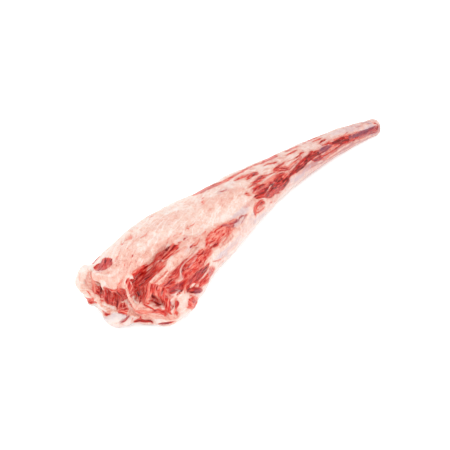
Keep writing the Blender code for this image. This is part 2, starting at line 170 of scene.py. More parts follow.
def chart_of(points):
    """Share, angle in degrees, and the butt's across, up and out in millimetres, of each point."""
    place = points - RIM
    line = np.linspace(0, 1, STEPS + 1)
    heading = BEND * (1 / 3 - line**2)
    middle = (heading[1:] + heading[:-1]) / 2
    step = LENGTH / STEPS
    x = np.concatenate([[0], np.cumsum(np.cos(middle)) * step])
    y = np.concatenate([[0], np.cumsum(np.sin(middle)) * step])
    facing = heading + SKEW * np.exp(-line / SKEW_FADE)
    share = np.empty(len(place))
    across = np.empty(len(place))
    for start in range(0, len(place), AT_ONCE):
        part = slice(start, start + AT_ONCE)
        dx = place[part, :1] - x
        dy = place[part, 1:2] - y
        gap = dx * np.cos(facing) + dy * np.sin(facing)
        nearest = np.abs(gap).argmin(1)
        row = np.arange(len(nearest))
        share[part] = line[nearest] + gap[row, nearest] / LENGTH
        across[part] = (dx * np.sin(facing) - dy * np.cos(facing))[row, nearest]
    half_width = section(share, 1)
    half_height = half_width * section(share, 2)
    rise = place[:, 2] - half_height + PRESSED
    angle = np.degrees(np.arctan2(across / half_width, rise / half_height))
    flat = np.stack([
        place @ (math.sin(facing[0]), -math.cos(facing[0]), 0),
        place[:, 2],
        -(place @ (math.cos(facing[0]), math.sin(facing[0]), 0)),
    ], 1) / MM
    return share, angle, flat


SHARE, ANGLE, FACE = chart_of(SPOTS)
HALF_WIDTH = section(SHARE, 1)
HALF_HEIGHT = HALF_WIDTH * section(SHARE, 2)
DEGREE = np.radians(1) * np.sqrt((HALF_WIDTH**2 + HALF_HEIGHT**2) / 2) / MM   # one degree of girth, mm
print("share from", SHARE.min().round(3), "to", SHARE.max().round(3))
print("a degree of girth:", DEGREE.min().round(2), "to", DEGREE.max().round(2), "mm")

# %% [markdown]
# ## Painting the tissues
#
# Each bundle, sinew or stain is one stroke: a row of places with a half width at each. A stroke measures how
# far inside it every point of the skin lies, frays its edge along its own length as torn fibres do, and
# lays its tissue there. Later strokes lie over earlier ones, as membrane lies over muscle. The result is
# kept on the mesh as a few numbers per point, which the finish reads.

# %% Noise and strokes
TISSUE = {name: np.zeros(len(SPOTS)) for name in ("flesh", "tone", "blue", "blush", "white", "raised")}
WRINKLE = 0.15           # the fat's wrinkles run on the slant by this much
GIRTH = 0.035            # radius on which the wrinkles' spacing is reckoned, m
GRAIN = np.zeros((len(SPOTS), 3))    # along the fibres, and across them
GRAIN[:, 0] = SHARE * LENGTH
GRAIN[:, 1] = np.radians(ANGLE) * GIRTH + WRINKLE * GRAIN[:, 0]
EDGE = 1.3               # width of a stroke's soft edge, mm
HALO = 3.5               # width of the pink fringe where the fat over meat thins out, mm
COMB = (9.0, 1.1, 1.0)   # frayed edges: size along and across, mm
REACH = 5.0              # how far beyond a stroke its points are looked for, mm
FINE_COMB = (3.0, 0.8, 1.0)
STROKE_GAP = 7.0         # sets the fibres of one stroke apart from the next in the noise
SEED_GAP = 19.7          # sets one seed's noise apart from the next
HASH = np.array([73856093, 19349663, 83492791])   # whole numbers that scatter the noise's cells
SCRAMBLE = 1274126177
HALF_RANGE = 0xFFFF / 2


def noise(points, size, seed=0):
    """Smooth noise from -1 to 1, with bumps as big as size, which is one number or one for each axis."""
    place = points / np.asarray(size) + SEED_GAP * seed
    cell = np.floor(place).astype(np.int64)
    part = place - cell
    ease = part * part * (3 - 2 * part)
    total = np.zeros(len(points))
    for corner in itertools.product((0, 1), repeat=3):
        mixed = (cell + corner) * HASH
        code = mixed[:, 0] ^ mixed[:, 1] ^ mixed[:, 2]
        code = (code ^ (code >> 13)) * SCRAMBLE
        value = ((code ^ (code >> 16)) & 0xFFFF) / HALF_RANGE - 1
        total += value * np.where(corner, ease, 1 - ease).prod(1)
    return total


def smooth(low, high, value):
    """0 below low, 1 above high, and an even ease between."""
    part = np.clip((value - low) / (high - low), 0, 1)
    return part * part * (3 - 2 * part)


def curve(rows, per_span=5):
    """A smooth run of rows through these rows."""
    rows = np.array(rows, float)
    ends = [2 * rows[0] - rows[1], *rows, 2 * rows[-1] - rows[-2]]
    found = []
    for a, b, c, d in zip(ends, ends[1:], ends[2:], ends[3:]):
        for t in np.arange(per_span) / per_span:
            found.append(0.5 * (2 * b + (c - a) * t + (2 * a - 5 * b + 4 * c - d) * t**2
                                + (3 * b - a - 3 * c + d) * t**3))
    return np.array([*found, rows[-1]])


def stroke(plane, path, fray, seed):
    """How much of each point the stroke covers and its wider halo, 0 to 1, and places along its fibres.

    plane has each point's place in a flat chart in mm, and path rows of such places with a half width.
    """
    low = path[:, :2].min(0) - path[:, 2].max() - REACH
    high = path[:, :2].max(0) + path[:, 2].max() + REACH
    near = np.where(((plane > low) & (plane < high)).all(1))[0]
    place = plane[near]
    best = np.full(len(near), np.inf)
    fibre = np.zeros((len(near), 3))
    gone = 0.0
    for a, b in zip(path, path[1:]):
        way = (b - a)[:2]
        long = max(np.hypot(*way), 1e-6)
        t = np.clip((place - a[:2]) @ way / long**2, 0, 1)
        off = place - a[:2] - t[:, None] * way
        past = np.hypot(*off.T) - a[2] - t * (b[2] - a[2])
        side = (way[0] * (place - a[:2])[:, 1] - way[1] * (place - a[:2])[:, 0]) / long
        closer = past < best
        best = np.where(closer, past, best)
        fibre[closer] = np.stack([gone + t * long, side, np.full(len(side), STROKE_GAP * seed)], 1)[closer]
        gone += long
    torn = noise(fibre, COMB, seed) + 0.5 * noise(fibre, FINE_COMB, seed + 50)
    cover = smooth(-EDGE, EDGE, -best + fray * torn)
    halo = smooth(-HALO, 0, -best + 2 * fray * torn)
    return near, cover, halo, fibre


def lay(near, cover, values, fibre=None):
    """Lays a tissue over what is there, and turns the grain along its fibres where it has some."""
    for name, value in values.items():
        TISSUE[name][near] += (value - TISSUE[name][near]) * cover
    if fibre is not None:
        took = cover > 0.5
        GRAIN[near[took]] = fibre[took] * MM


# What each kind of stroke lays: a function of its one value. Heights are in millimetres.
KINDS = {
    "meat": lambda v: {"flesh": 1, "tone": v, "blue": 0, "white": 0, "raised": -0.7},
    "tone": lambda v: {"tone": v},
    "film": lambda v: {"blue": v},
    "fat": lambda v: {"flesh": 0, "blush": v, "blue": 0, "raised": 0.3},
    "sinew": lambda v: {"flesh": 0, "white": v, "raised": 0.5},
    "blush": lambda v: {"blush": v},
    # A pit is meat sunk into a pocket, its darkness painted shade.
    "pit": lambda v: {"flesh": 1, "tone": v, "white": 0, "blue": 0, "raised": -1.3},
    "window": lambda v: {"flesh": 1, "tone": v, "white": 0, "blue": 0.08, "raised": -0.4},
}
# How far a stroke's edge is frayed, in mm, and which kinds bring fibres of their own.
FRAY = {"meat": 1.3, "tone": 0.9, "film": 1.2, "fat": 0.8, "sinew": 0.35, "blush": 1.0, "pit": 0.5,
        "window": 0.45}
WITH_FIBRES = ("meat", "pit")
FRINGE = 0.95   # blush of the thin fat round a bundle


def paint(rows, plane, to_plane, allowed, first_seed):
    """Lays every row of (kind, value, strength, places) in order, with a pink fringe round the meat."""
    for seed, (kind, value, strength, places) in enumerate(rows, first_seed):
        path = curve([to_plane(*place) for place in places])
        near, cover, halo, fibre = stroke(plane, path, FRAY[kind], seed)
        cover = cover * strength * allowed[near]
        if kind in WITH_FIBRES:
            fringe = halo * strength * allowed[near] * (0.3 + 0.4 * value)
            TISSUE["blush"][near] += np.clip(FRINGE - TISSUE["blush"][near], 0, 1) * fringe
        lay(near, cover, KINDS[kind](value), fibre if kind in WITH_FIBRES else None)
    print(len(rows), "strokes laid")


print("strokes of", len(KINDS), "kinds:", *KINDS)

# %% [markdown]
# ## The map: the back near the butt
#
# The rows of the next cells are the tail's map: a kind, its value, its strength and places of (share, angle,
# half width in degrees). No rule would grow these bundles, so each is set down one by one. Near the butt the
# long dark double bundle lies in its cleft beside the fat cap, with an oval opening in the cap; below it
# come a fat tongue and the bright marbled strip.

# %% The back near the butt
NEAR_BUTT = [
    # What lies between the bundles: thin fat with meat showing through, in rows.
    ("blush", 0.70, 0.8, ((-0.02, 0, 12), (0.03, 4, 10), (0.08, 8, 8), (0.13, 14, 5))),
    ("blush", 0.62, 0.9, ((-0.02, 32, 8), (0.04, 33, 8), (0.10, 32, 9), (0.17, 34, 8), (0.25, 42, 9))),
    ("meat", 0.06, 0.75, ((-0.015, 46, 10), (0.03, 48, 11), (0.08, 49, 10), (0.13, 50, 9), (0.17, 52, 7))),
    ("meat", 0.16, 0.65, ((0.06, 64, 5), (0.09, 70, 7), (0.12, 77, 11), (0.145, 86, 12), (0.158, 90, 9))),
    ("film", 0.30, 0.7, ((0.10, 96, 6), (0.13, 100, 8), (0.16, 104, 7))),
    ("blush", 0.45, 0.8, ((0.0, 74, 8), (0.03, 76, 10), (0.06, 88, 12))),
    ("blush", 0.60, 0.7, ((0.16, 40, 6), (0.22, 52, 16), (0.28, 56, 14), (0.33, 56, 8))),
    # The oval window in the fat cap.
    ("window", 0.50, 1.0, ((0.0205, -43, 6.0), (0.0175, -38.6, 9.4), (0.0150, -34.6, 11.4))),
    ("tone", 0.66, 0.8, ((0.022, -45, 1.4), (0.024, -38, 3.4), (0.024, -31, 2.4))),
    ("tone", 0.26, 0.6, ((0.002, -27, 2), (0.016, -25, 1.6))),
    ("film", 0.28, 0.9, ((-0.004, -33, 4), (0.010, -30, 6), (0.022, -28, 4))),
    ("film", 0.16, 0.9, ((0.010, -42, 3), (0.026, -40, 6))),
    ("blush", 0.9, 0.8, ((-0.004, -47.6, 0.8), (0.006, -46.6, 1.0), (0.018, -49.6, 0.8))),
    ("film", 0.3, 0.6, ((0.036, -32, 1.6), (0.039, -37, 2), (0.038, -45, 1.4))),
    # The long dark double bundle in its cleft.
    ("meat", 0.48, 1.0, ((-0.020, 13, 11), (-0.01, 14, 11.6), (0.0, 15, 11.4), (0.01, 16, 10.6),
        (0.02, 17, 9.6), (0.03, 18.4, 9), (0.04, 19.4, 8), (0.05, 20, 7), (0.06, 19.2, 7.0),
        (0.07, 18.4, 6.8), (0.08, 18.4, 6.4), (0.10, 18.6, 5.6), (0.115, 19.2, 4.4), (0.128, 19.6, 2.4))),
    ("tone", 0.72, 0.9, ((-0.012, 6, 2.6), (0.0, 9.4, 2.4), (0.014, 11.6, 2.0), (0.028, 14.6, 1.6),
        (0.036, 16.4, 1.0))),
    ("tone", 0.60, 0.8, ((-0.004, 19, 4), (0.01, 21, 3.6), (0.026, 20, 3.0), (0.045, 21, 2.4),
        (0.06, 21.6, 1.8), (0.073, 22, 1.0))),
    ("tone", 0.40, 0.8, ((0.036, 13.4, 1.0), (0.05, 14.4, 1.1), (0.07, 15.2, 1.2), (0.10, 17, 1.0))),
    ("tone", 0.48, 0.8, ((0.062, 17, 0.9), (0.08, 18.6, 1.4), (0.10, 19.6, 1.6), (0.11, 20, 0.8))),
    ("tone", 0.44, 0.7, ((-0.004, 14.6, 0.7), (0.012, 15.6, 0.9), (0.026, 18, 0.9), (0.04, 19.4, 0.8))),
    # A pocket at the bundle's head, dark with painted shade.
    ("pit", 0.76, 1.0, ((-0.017, 19, 4), (-0.012, 23, 5.6), (-0.007, 26, 3.4))),
    ("film", 0.14, 0.8, ((0.002, 15, 2.0), (0.018, 19, 2.6), (0.035, 21.5, 2.2))),
    ("sinew", 0.26, 0.9, ((0.034, 15.6, 0.35), (0.048, 17.0, 0.45), (0.064, 17.8, 0.5), (0.074, 20, 0.6),
        (0.071, 22.4, 0.5))),
    ("tone", 0.60, 1.0, ((0.03, 27, 1.4), (0.048, 27.4, 0.9))),
    ("sinew", 0.35, 0.6, ((0.086, 24.6, 0.4), (0.066, 26, 0.5), (0.045, 29, 0.6), (0.02, 29.2, 0.6),
        (-0.002, 28.6, 0.6))),
    ("meat", 0.46, 0.9, ((0.137, 21.6, 0.9), (0.145, 22, 1.9), (0.152, 22.4, 1.4), (0.165, 23, 0.7))),
    ("fat", 0.40, 1.0, ((0.110, 11.0, 1.4), (0.122, 12.6, 3.4), (0.134, 14.4, 4.2), (0.147, 15.8, 2.8))),
    ("fat", 0.40, 1.0, ((0.123, 20.6, 0.8), (0.132, 19.6, 1.8), (0.143, 19.4, 1.4))),
    ("meat", 0.34, 0.8, ((0.128, 21.6, 0.4), (0.136, 22, 0.6), (0.144, 22.2, 0.5))),
    ("film", 0.25, 0.7, ((0.128, 20, 1), (0.14, 20, 1.6), (0.165, 22, 1.6))),
    ("meat", 0.14, 0.75, ((0.082, 24.8, 0.8), (0.10, 26.4, 1.2), (0.115, 28, 0.8))),
    # The fat tongue with fibre rows below it.
    ("meat", 0.42, 0.8, ((-0.002, 30.8, 0.9), (0.012, 31.2, 1.3), (0.026, 31.8, 1.2), (0.034, 32.2, 0.6))),
    ("meat", 0.56, 0.8, ((0.0, 33.2, 0.7), (0.014, 33.2, 1.0), (0.028, 33, 0.9), (0.036, 32.6, 0.5))),
    ("meat", 0.44, 0.85, ((-0.016, 38, 3), (-0.006, 41, 3.6), (0.004, 40, 2.2), (0.014, 37.6, 1.2))),
    ("fat", 0.50, 0.85, ((-0.013, 34.6, 1.8), (0.0, 36, 2.4), (0.015, 36.6, 2.6), (0.032, 35.6, 2.0))),
    ("meat", 0.30, 0.8, ((-0.006, 38.8, 0.5), (0.01, 39.6, 0.7), (0.026, 39, 0.5))),
    ("meat", 0.60, 0.9, ((0.131, 33, 0.8), (0.146, 33.6, 1.7), (0.156, 34, 1.5), (0.175, 34, 0.6))),
    ("film", 0.40, 0.7, ((0.106, 32, 1), (0.122, 32.5, 1.8), (0.140, 31.6, 1.4))),
    ("fat", 0.36, 0.7, ((0.04, 30.4, 0.8), (0.06, 29.6, 1.3), (0.08, 29.4, 1.3), (0.10, 29.8, 0.9))),
    ("sinew", 0.7, 0.9, ((0.172, 29.6, 0.6), (0.19, 29.6, 0.9), (0.206, 29.8, 0.4))),
    ("meat", 0.08, 0.8, ((0.160, 28.6, 0.5), (0.176, 30.8, 0.8), (0.196, 32.4, 0.9), (0.212, 32, 0.6))),
    ("meat", 0.20, 0.6, ((0.02, 37, 0.8), (0.05, 36.4, 0.8), (0.08, 37, 0.6))),
    # The dark triangle above the white hook.
    ("meat", 0.56, 1.0, ((0.030, 39.6, 1.2), (0.040, 42.6, 3.6), (0.050, 44.4, 5.4), (0.058, 43.6, 4.4),
        (0.068, 41.6, 2.2), (0.08, 40.8, 1.6), (0.095, 40.6, 1.1), (0.105, 40.8, 0.6))),
    ("tone", 0.74, 0.8, ((0.045, 40.2, 0.9), (0.065, 40, 1.1), (0.09, 40, 0.9))),
    ("tone", 0.42, 0.7, ((0.042, 45.6, 1.2), (0.054, 46.6, 1.4))),
    ("meat", 0.55, 0.95, ((-0.008, 45, 3), (0.004, 44, 2.6), (0.014, 45.4, 4.4), (0.026, 47.4, 5.2),
        (0.034, 49, 3.4))),
    ("film", 0.25, 0.7, ((0.01, 43, 2), (0.022, 45, 3))),
    # The bright marbled strip.
    ("meat", 0.42, 1.0, ((0.056, 53.4, 2.0), (0.066, 51.6, 4.4), (0.080, 50.5, 7.0), (0.10, 50.6, 8),
        (0.12, 50.6, 8), (0.14, 50.4, 7.4), (0.155, 51.4, 5.4), (0.17, 52.6, 3.6))),
    ("tone", 0.50, 0.9, ((0.066, 49.4, 0.9), (0.08, 47.2, 1.5), (0.10, 45.4, 1.6), (0.12, 44.4, 1.2),
        (0.145, 43.6, 0.7))),
    ("tone", 0.54, 0.9, ((0.058, 55, 0.9), (0.075, 52.6, 1.1), (0.10, 51, 1.3), (0.125, 50.2, 1.4),
        (0.15, 50.3, 1.8))),
    ("tone", 0.42, 0.8, ((0.06, 58, 0.8), (0.085, 56.6, 1.1), (0.105, 56, 1.5), (0.13, 54.4, 1.1),
        (0.15, 54.6, 0.9))),
    ("tone", 0.52, 0.8, ((0.10, 48, 0.7), (0.12, 47.4, 1.0), (0.145, 46.6, 0.9))),
    ("tone", 0.06, 0.7, ((0.078, 49.6, 0.4), (0.10, 48.2, 0.6), (0.128, 46.2, 0.6))),
    ("tone", 0.06, 0.6, ((0.066, 55.4, 0.5), (0.09, 54.4, 0.7), (0.12, 52.6, 0.6))),
    ("tone", 0.10, 0.6, ((0.10, 58, 0.6), (0.13, 57, 0.9), (0.15, 57, 0.8))),
    ("sinew", 0.55, 0.6, ((0.088, 49.2, 0.3), (0.105, 47.2, 0.4), (0.122, 46.2, 0.3))),
    ("sinew", 0.55, 0.9, ((0.158, 41, 0.3), (0.135, 41.6, 0.4), (0.11, 42.6, 0.4), (0.088, 42.6, 0.5),
        (0.075, 43.6, 0.5), (0.066, 46.6, 0.6), (0.059, 50, 0.6), (0.051, 51.8, 0.6), (0.043, 51.8, 0.5),
        (0.037, 50.4, 0.3))),
    ("meat", 0.50, 1.0, ((0.145, 51, 1.8), (0.165, 51.6, 2.4), (0.18, 52.8, 2.2), (0.193, 54, 3.0),
        (0.203, 54.8, 3.8), (0.213, 54.8, 2.8), (0.235, 54.6, 1.5), (0.256, 54, 0.8))),
    ("meat", 0.22, 0.95, ((0.170, 45, 1.2), (0.182, 44, 3.6), (0.20, 45, 7.4), (0.222, 46, 9.2),
        (0.245, 47.6, 9.6), (0.268, 50.5, 8.4), (0.286, 54, 6.4))),
    ("tone", 0.46, 0.9, ((0.170, 45.4, 1.0), (0.185, 44.4, 1.4), (0.198, 47, 1.2), (0.214, 48.4, 0.9))),
    ("tone", 0.44, 0.9, ((0.183, 41.6, 0.8), (0.20, 38.6, 1.1), (0.218, 38.6, 1.1), (0.235, 41, 1.2),
        (0.262, 42.6, 1.0))),
    ("tone", 0.42, 0.9, ((0.203, 44.6, 0.8), (0.22, 44, 0.9), (0.24, 46, 1.1))),
    ("tone", 0.42, 0.9, ((0.244, 47.4, 1.4), (0.258, 49.4, 2.0), (0.27, 51.5, 1.6), (0.278, 52.6, 0.8))),
    ("tone", 0.46, 1.0, ((0.195, 55.4, 2.4), (0.205, 55.4, 3.4), (0.218, 54.7, 1.8), (0.25, 54, 1.2))),
    ("tone", 0.02, 0.8, ((0.205, 42, 0.9), (0.216, 43.6, 1.1), (0.222, 48, 1.3), (0.226, 51, 0.9))),
    ("tone", 0.02, 0.7, ((0.236, 44, 0.7), (0.248, 45, 0.8), (0.262, 46, 0.8))),
    ("tone", 0.04, 0.7, ((0.232, 51.4, 0.7), (0.25, 52, 0.8), (0.262, 55.6, 0.8))),
    ("meat", 0.44, 1.0, ((0.241, 58, 0.9), (0.255, 58, 1.8), (0.268, 56.6, 2.0), (0.279, 54.4, 1.0))),
    ("meat", 0.22, 0.9, ((0.205, 58.6, 0.8), (0.225, 61, 1.3), (0.245, 61.6, 1.6), (0.27, 61, 1.6),
        (0.292, 60.4, 1.4))),
    ("blush", 0.95, 0.8, ((0.208, 62, 1.6), (0.23, 65.5, 2.4), (0.25, 68, 2.8), (0.272, 69, 2.0))),
    ("blush", 0.9, 0.7, ((0.296, 64, 1.6), (0.306, 70, 1.8))),
    # The clear window at its end.
    ("meat", 0.36, 0.95, ((0.272, 50.5, 1.8), (0.286, 50.8, 3.6), (0.300, 52, 4.4), (0.311, 54, 3.0))),
    ("tone", 0.52, 0.9, ((0.277, 50.4, 1.2), (0.29, 51, 1.3), (0.302, 54, 1.6), (0.312, 54.6, 1.3))),
    ("film", 0.36, 0.8, ((0.28, 52.5, 3.4), (0.30, 53.6, 4.2), (0.315, 55, 2.4))),
    ("film", 0.60, 0.8, ((0.266, 42.5, 1.4), (0.275, 45.5, 1.8), (0.281, 48.4, 1))),
    ("film", 0.65, 0.8, ((0.286, 57.4, 1.4), (0.30, 58.6, 2.0), (0.315, 60.4, 2.0))),
    ("film", 0.75, 0.8, ((0.295, 46, 2.0), (0.32, 46.5, 2.6), (0.345, 50, 5), (0.37, 50, 6))),
    ("meat", 0.14, 0.8, ((0.316, 56, 1.2), (0.326, 53.6, 1.8), (0.337, 55, 2.0), (0.346, 58, 1.2))),
    ("meat", 0.16, 0.85, ((0.306, 63.4, 0.9), (0.322, 63.2, 1.0), (0.345, 61, 1.2), (0.357, 59.6, 1.0))),
    ("film", 0.55, 0.7, ((0.345, 50, 1.4), (0.352, 53, 2.6), (0.354, 57, 1.6))),
    ("film", 0.60, 0.8, ((0.305, 57, 5), (0.33, 58, 7), (0.35, 57, 6))),
    ("blush", 0.85, 0.8, ((0.362, 47, 2.4), (0.385, 49, 5), (0.41, 50, 4))),
    ("film", 0.30, 0.7, ((0.37, 49, 4), (0.40, 49, 4))),
]
print(len(NEAR_BUTT), "rows")

# %% [markdown]
# ## The map: the near flank
#
# Lower down lie two purple-red bundles and the round end of the flank with a cream lobe beside it. Further on
# the flank is fat with stains, save for one patch of meat on its own. What lies low here or in the next two
# cells is carried over to the far flank later, so it needn't be set down twice.

# %% The near flank
NEAR_FLANK = [
    # The two purple-red bundles below the marbled strip.
    ("meat", 0.58, 1.0, ((-0.006, 57, 3.6), (0.004, 55, 5.6), (0.016, 56, 5.2), (0.030, 57.6, 4.4),
        (0.044, 58.4, 3.2), (0.058, 58, 1.6))),
    ("film", 0.34, 0.8, ((0.0, 51, 2.0), (0.012, 52.6, 2.4), (0.028, 55, 2.4), (0.042, 57, 1.8))),
    ("tone", 0.60, 0.9, ((0.010, 58.6, 0.9), (0.026, 59.6, 1.1), (0.042, 60.4, 0.9))),
    ("sinew", 0.7, 0.8, ((-0.005, 61, 0.9), (0.006, 59.6, 0.9), (0.017, 58.2, 0.5))),
    ("meat", 0.12, 0.8, ((0.022, 64, 1.6), (0.035, 64, 2.4), (0.05, 63, 1.6))),
    ("meat", 0.58, 1.0, ((0.038, 69, 3.0), (0.048, 67.4, 5.2), (0.062, 65.4, 6), (0.08, 65.4, 6.2),
        (0.095, 65, 6.2), (0.11, 65, 5.2), (0.125, 65.6, 3.8), (0.14, 66.4, 1.8))),
    ("film", 0.32, 0.75, ((0.055, 62.6, 2.4), (0.08, 63, 3), (0.105, 63, 2.8), (0.125, 65, 1.8))),
    ("tone", 0.70, 0.8, ((0.05, 66.4, 1.3), (0.07, 66.6, 1.5), (0.10, 67, 1.3))),
    ("tone", 0.72, 0.9, ((0.036, 70.6, 1.6), (0.046, 70.4, 2.0), (0.05, 68.6, 1.2))),
    ("tone", 0.28, 0.7, ((0.128, 62.8, 1.4), (0.142, 64, 1.6))),
    ("fat", 0.20, 0.9, ((0.051, 70.4, 1.6), (0.058, 69.4, 1.9), (0.066, 69.6, 1.0))),
    ("sinew", 0.5, 0.8, ((0.08, 72.2, 0.4), (0.095, 71.4, 0.5), (0.115, 70.4, 0.5), (0.132, 71, 0.4))),
    # The round end of the flank, and the cream lobe beside it.
    ("meat", 0.46, 0.95, ((0.075, 76.6, 2.4), (0.088, 77.4, 5.2), (0.105, 78.4, 6), (0.12, 79.4, 6),
        (0.135, 82.6, 7), (0.15, 88, 8), (0.162, 92, 5))),
    ("tone", 0.58, 0.85, ((0.084, 74, 1.3), (0.10, 73.6, 1.8), (0.115, 75, 1.8), (0.125, 76.4, 1.2))),
    ("tone", 0.40, 0.7, ((0.084, 78, 1.6), (0.10, 79, 1.8))),
    ("tone", 0.34, 0.8, ((0.12, 84, 2.4), (0.135, 88, 3.6), (0.145, 94, 3.6))),
    ("tone", 0.52, 0.8, ((0.136, 80, 1.8), (0.15, 84, 2.4), (0.161, 90, 2.0))),
    ("meat", 0.68, 1.0, ((0.046, 73.4, 2.2), (0.055, 76.4, 4.4), (0.063, 80.4, 4.4), (0.071, 85, 3.0),
        (0.078, 90, 1.4))),
    ("film", 0.60, 0.8, ((0.057, 79, 3.4), (0.067, 85, 5), (0.078, 92, 5), (0.09, 99, 4))),
    ("meat", 0.32, 0.95, ((0.029, 82, 3.6), (0.037, 90, 7.6), (0.047, 99, 9), (0.056, 107, 8),
        (0.063, 116, 5))),
    ("tone", 0.36, 0.7, ((0.034, 86, 2), (0.042, 95, 3), (0.05, 104, 3))),
    ("film", 0.25, 0.6, ((0.04, 88, 4), (0.052, 98, 4.4), (0.06, 106, 4))),
    ("tone", 0.50, 0.6, ((0.046, 92, 3), (0.056, 104, 3))),
    ("meat", 0.34, 0.9, ((0.0225, 91.4, 0.8), (0.0245, 94.6, 1.4), (0.026, 97, 0.7))),
    ("meat", 0.24, 0.8, ((0.036, 77.6, 1.2), (0.042, 80.6, 1.6), (0.047, 84, 1.0))),
    # Streaks of colour on the flank between the butt and the waist.
    ("meat", 0.20, 0.8, ((0.160, 71, 0.9), (0.175, 77, 2.0), (0.19, 84, 2.6), (0.203, 90, 2.4),
        (0.218, 95, 1.6))),
    ("film", 0.90, 0.85, ((0.175, 73, 2.2), (0.19, 75, 4.6), (0.205, 79, 6), (0.222, 86, 7), (0.236, 94, 4))),
    ("film", 0.60, 0.8, ((0.232, 82, 6), (0.26, 82, 7), (0.30, 86, 5))),
    ("meat", 0.16, 0.5, ((0.217, 88, 1.2), (0.226, 94, 2.0), (0.233, 98, 1.4))),
    ("film", 0.95, 0.6, ((0.238, 101, 1.4), (0.248, 104.6, 2.2), (0.259, 108, 1.2))),
    ("blush", 0.85, 0.7, ((0.176, 98, 2), (0.20, 102, 3), (0.222, 108, 4))),
    ("blush", 0.65, 0.7, ((0.345, 104, 2), (0.36, 108, 3), (0.375, 113, 2))),
    ("film", 0.65, 0.8, ((0.36, 74, 5), (0.378, 88, 7), (0.405, 96, 8), (0.43, 101, 7), (0.455, 105, 4))),
    # A patch on its own in the middle of the flank, like a lying letter C.
    ("meat", 0.44, 1.0, ((0.387, 73, 2.4), (0.392, 67, 4.4), (0.401, 62.6, 4.8), (0.412, 61.6, 5.2),
        (0.424, 62.6, 5.6), (0.434, 65.4, 5.4), (0.442, 69, 3.2))),
    ("tone", 0.56, 0.85, ((0.410, 62, 1.8), (0.422, 64.4, 2.6), (0.434, 67, 2.6), (0.441, 70, 1.4))),
    ("tone", 0.14, 0.7, ((0.405, 58.4, 1.4), (0.42, 58.4, 1.6))),
    ("meat", 0.20, 0.9, ((0.392, 73.6, 1.4), (0.403, 76, 3.2), (0.416, 77.4, 4), (0.432, 77, 3))),
    ("meat", 0.08, 0.8, ((0.399, 69, 2), (0.41, 70, 2.4), (0.425, 72, 2.4))),
    ("film", 0.45, 0.8, ((0.372, 68, 2.4), (0.382, 70, 2.8))),
    ("meat", 0.05, 0.8, ((0.470, 84, 1.8), (0.478, 87, 2.6))),
    ("meat", 0.04, 0.7, ((0.489, 82, 1.4), (0.495, 86, 1.8))),
    ("film", 0.22, 0.7, ((0.30, 75, 5), (0.34, 80, 8), (0.37, 84, 6))),
    ("blush", 0.7, 0.6, ((0.45, 66, 3), (0.465, 78, 5), (0.49, 90, 8), (0.52, 94, 7))),
]
print(len(NEAR_FLANK), "rows")

# %% [markdown]
# ## The map: the middle
#
# Past the waist the fat thins out. A fan of dark bundles begins there, small openings run along the back
# and two longer bundles follow towards the tip, the last with a purple window before it.

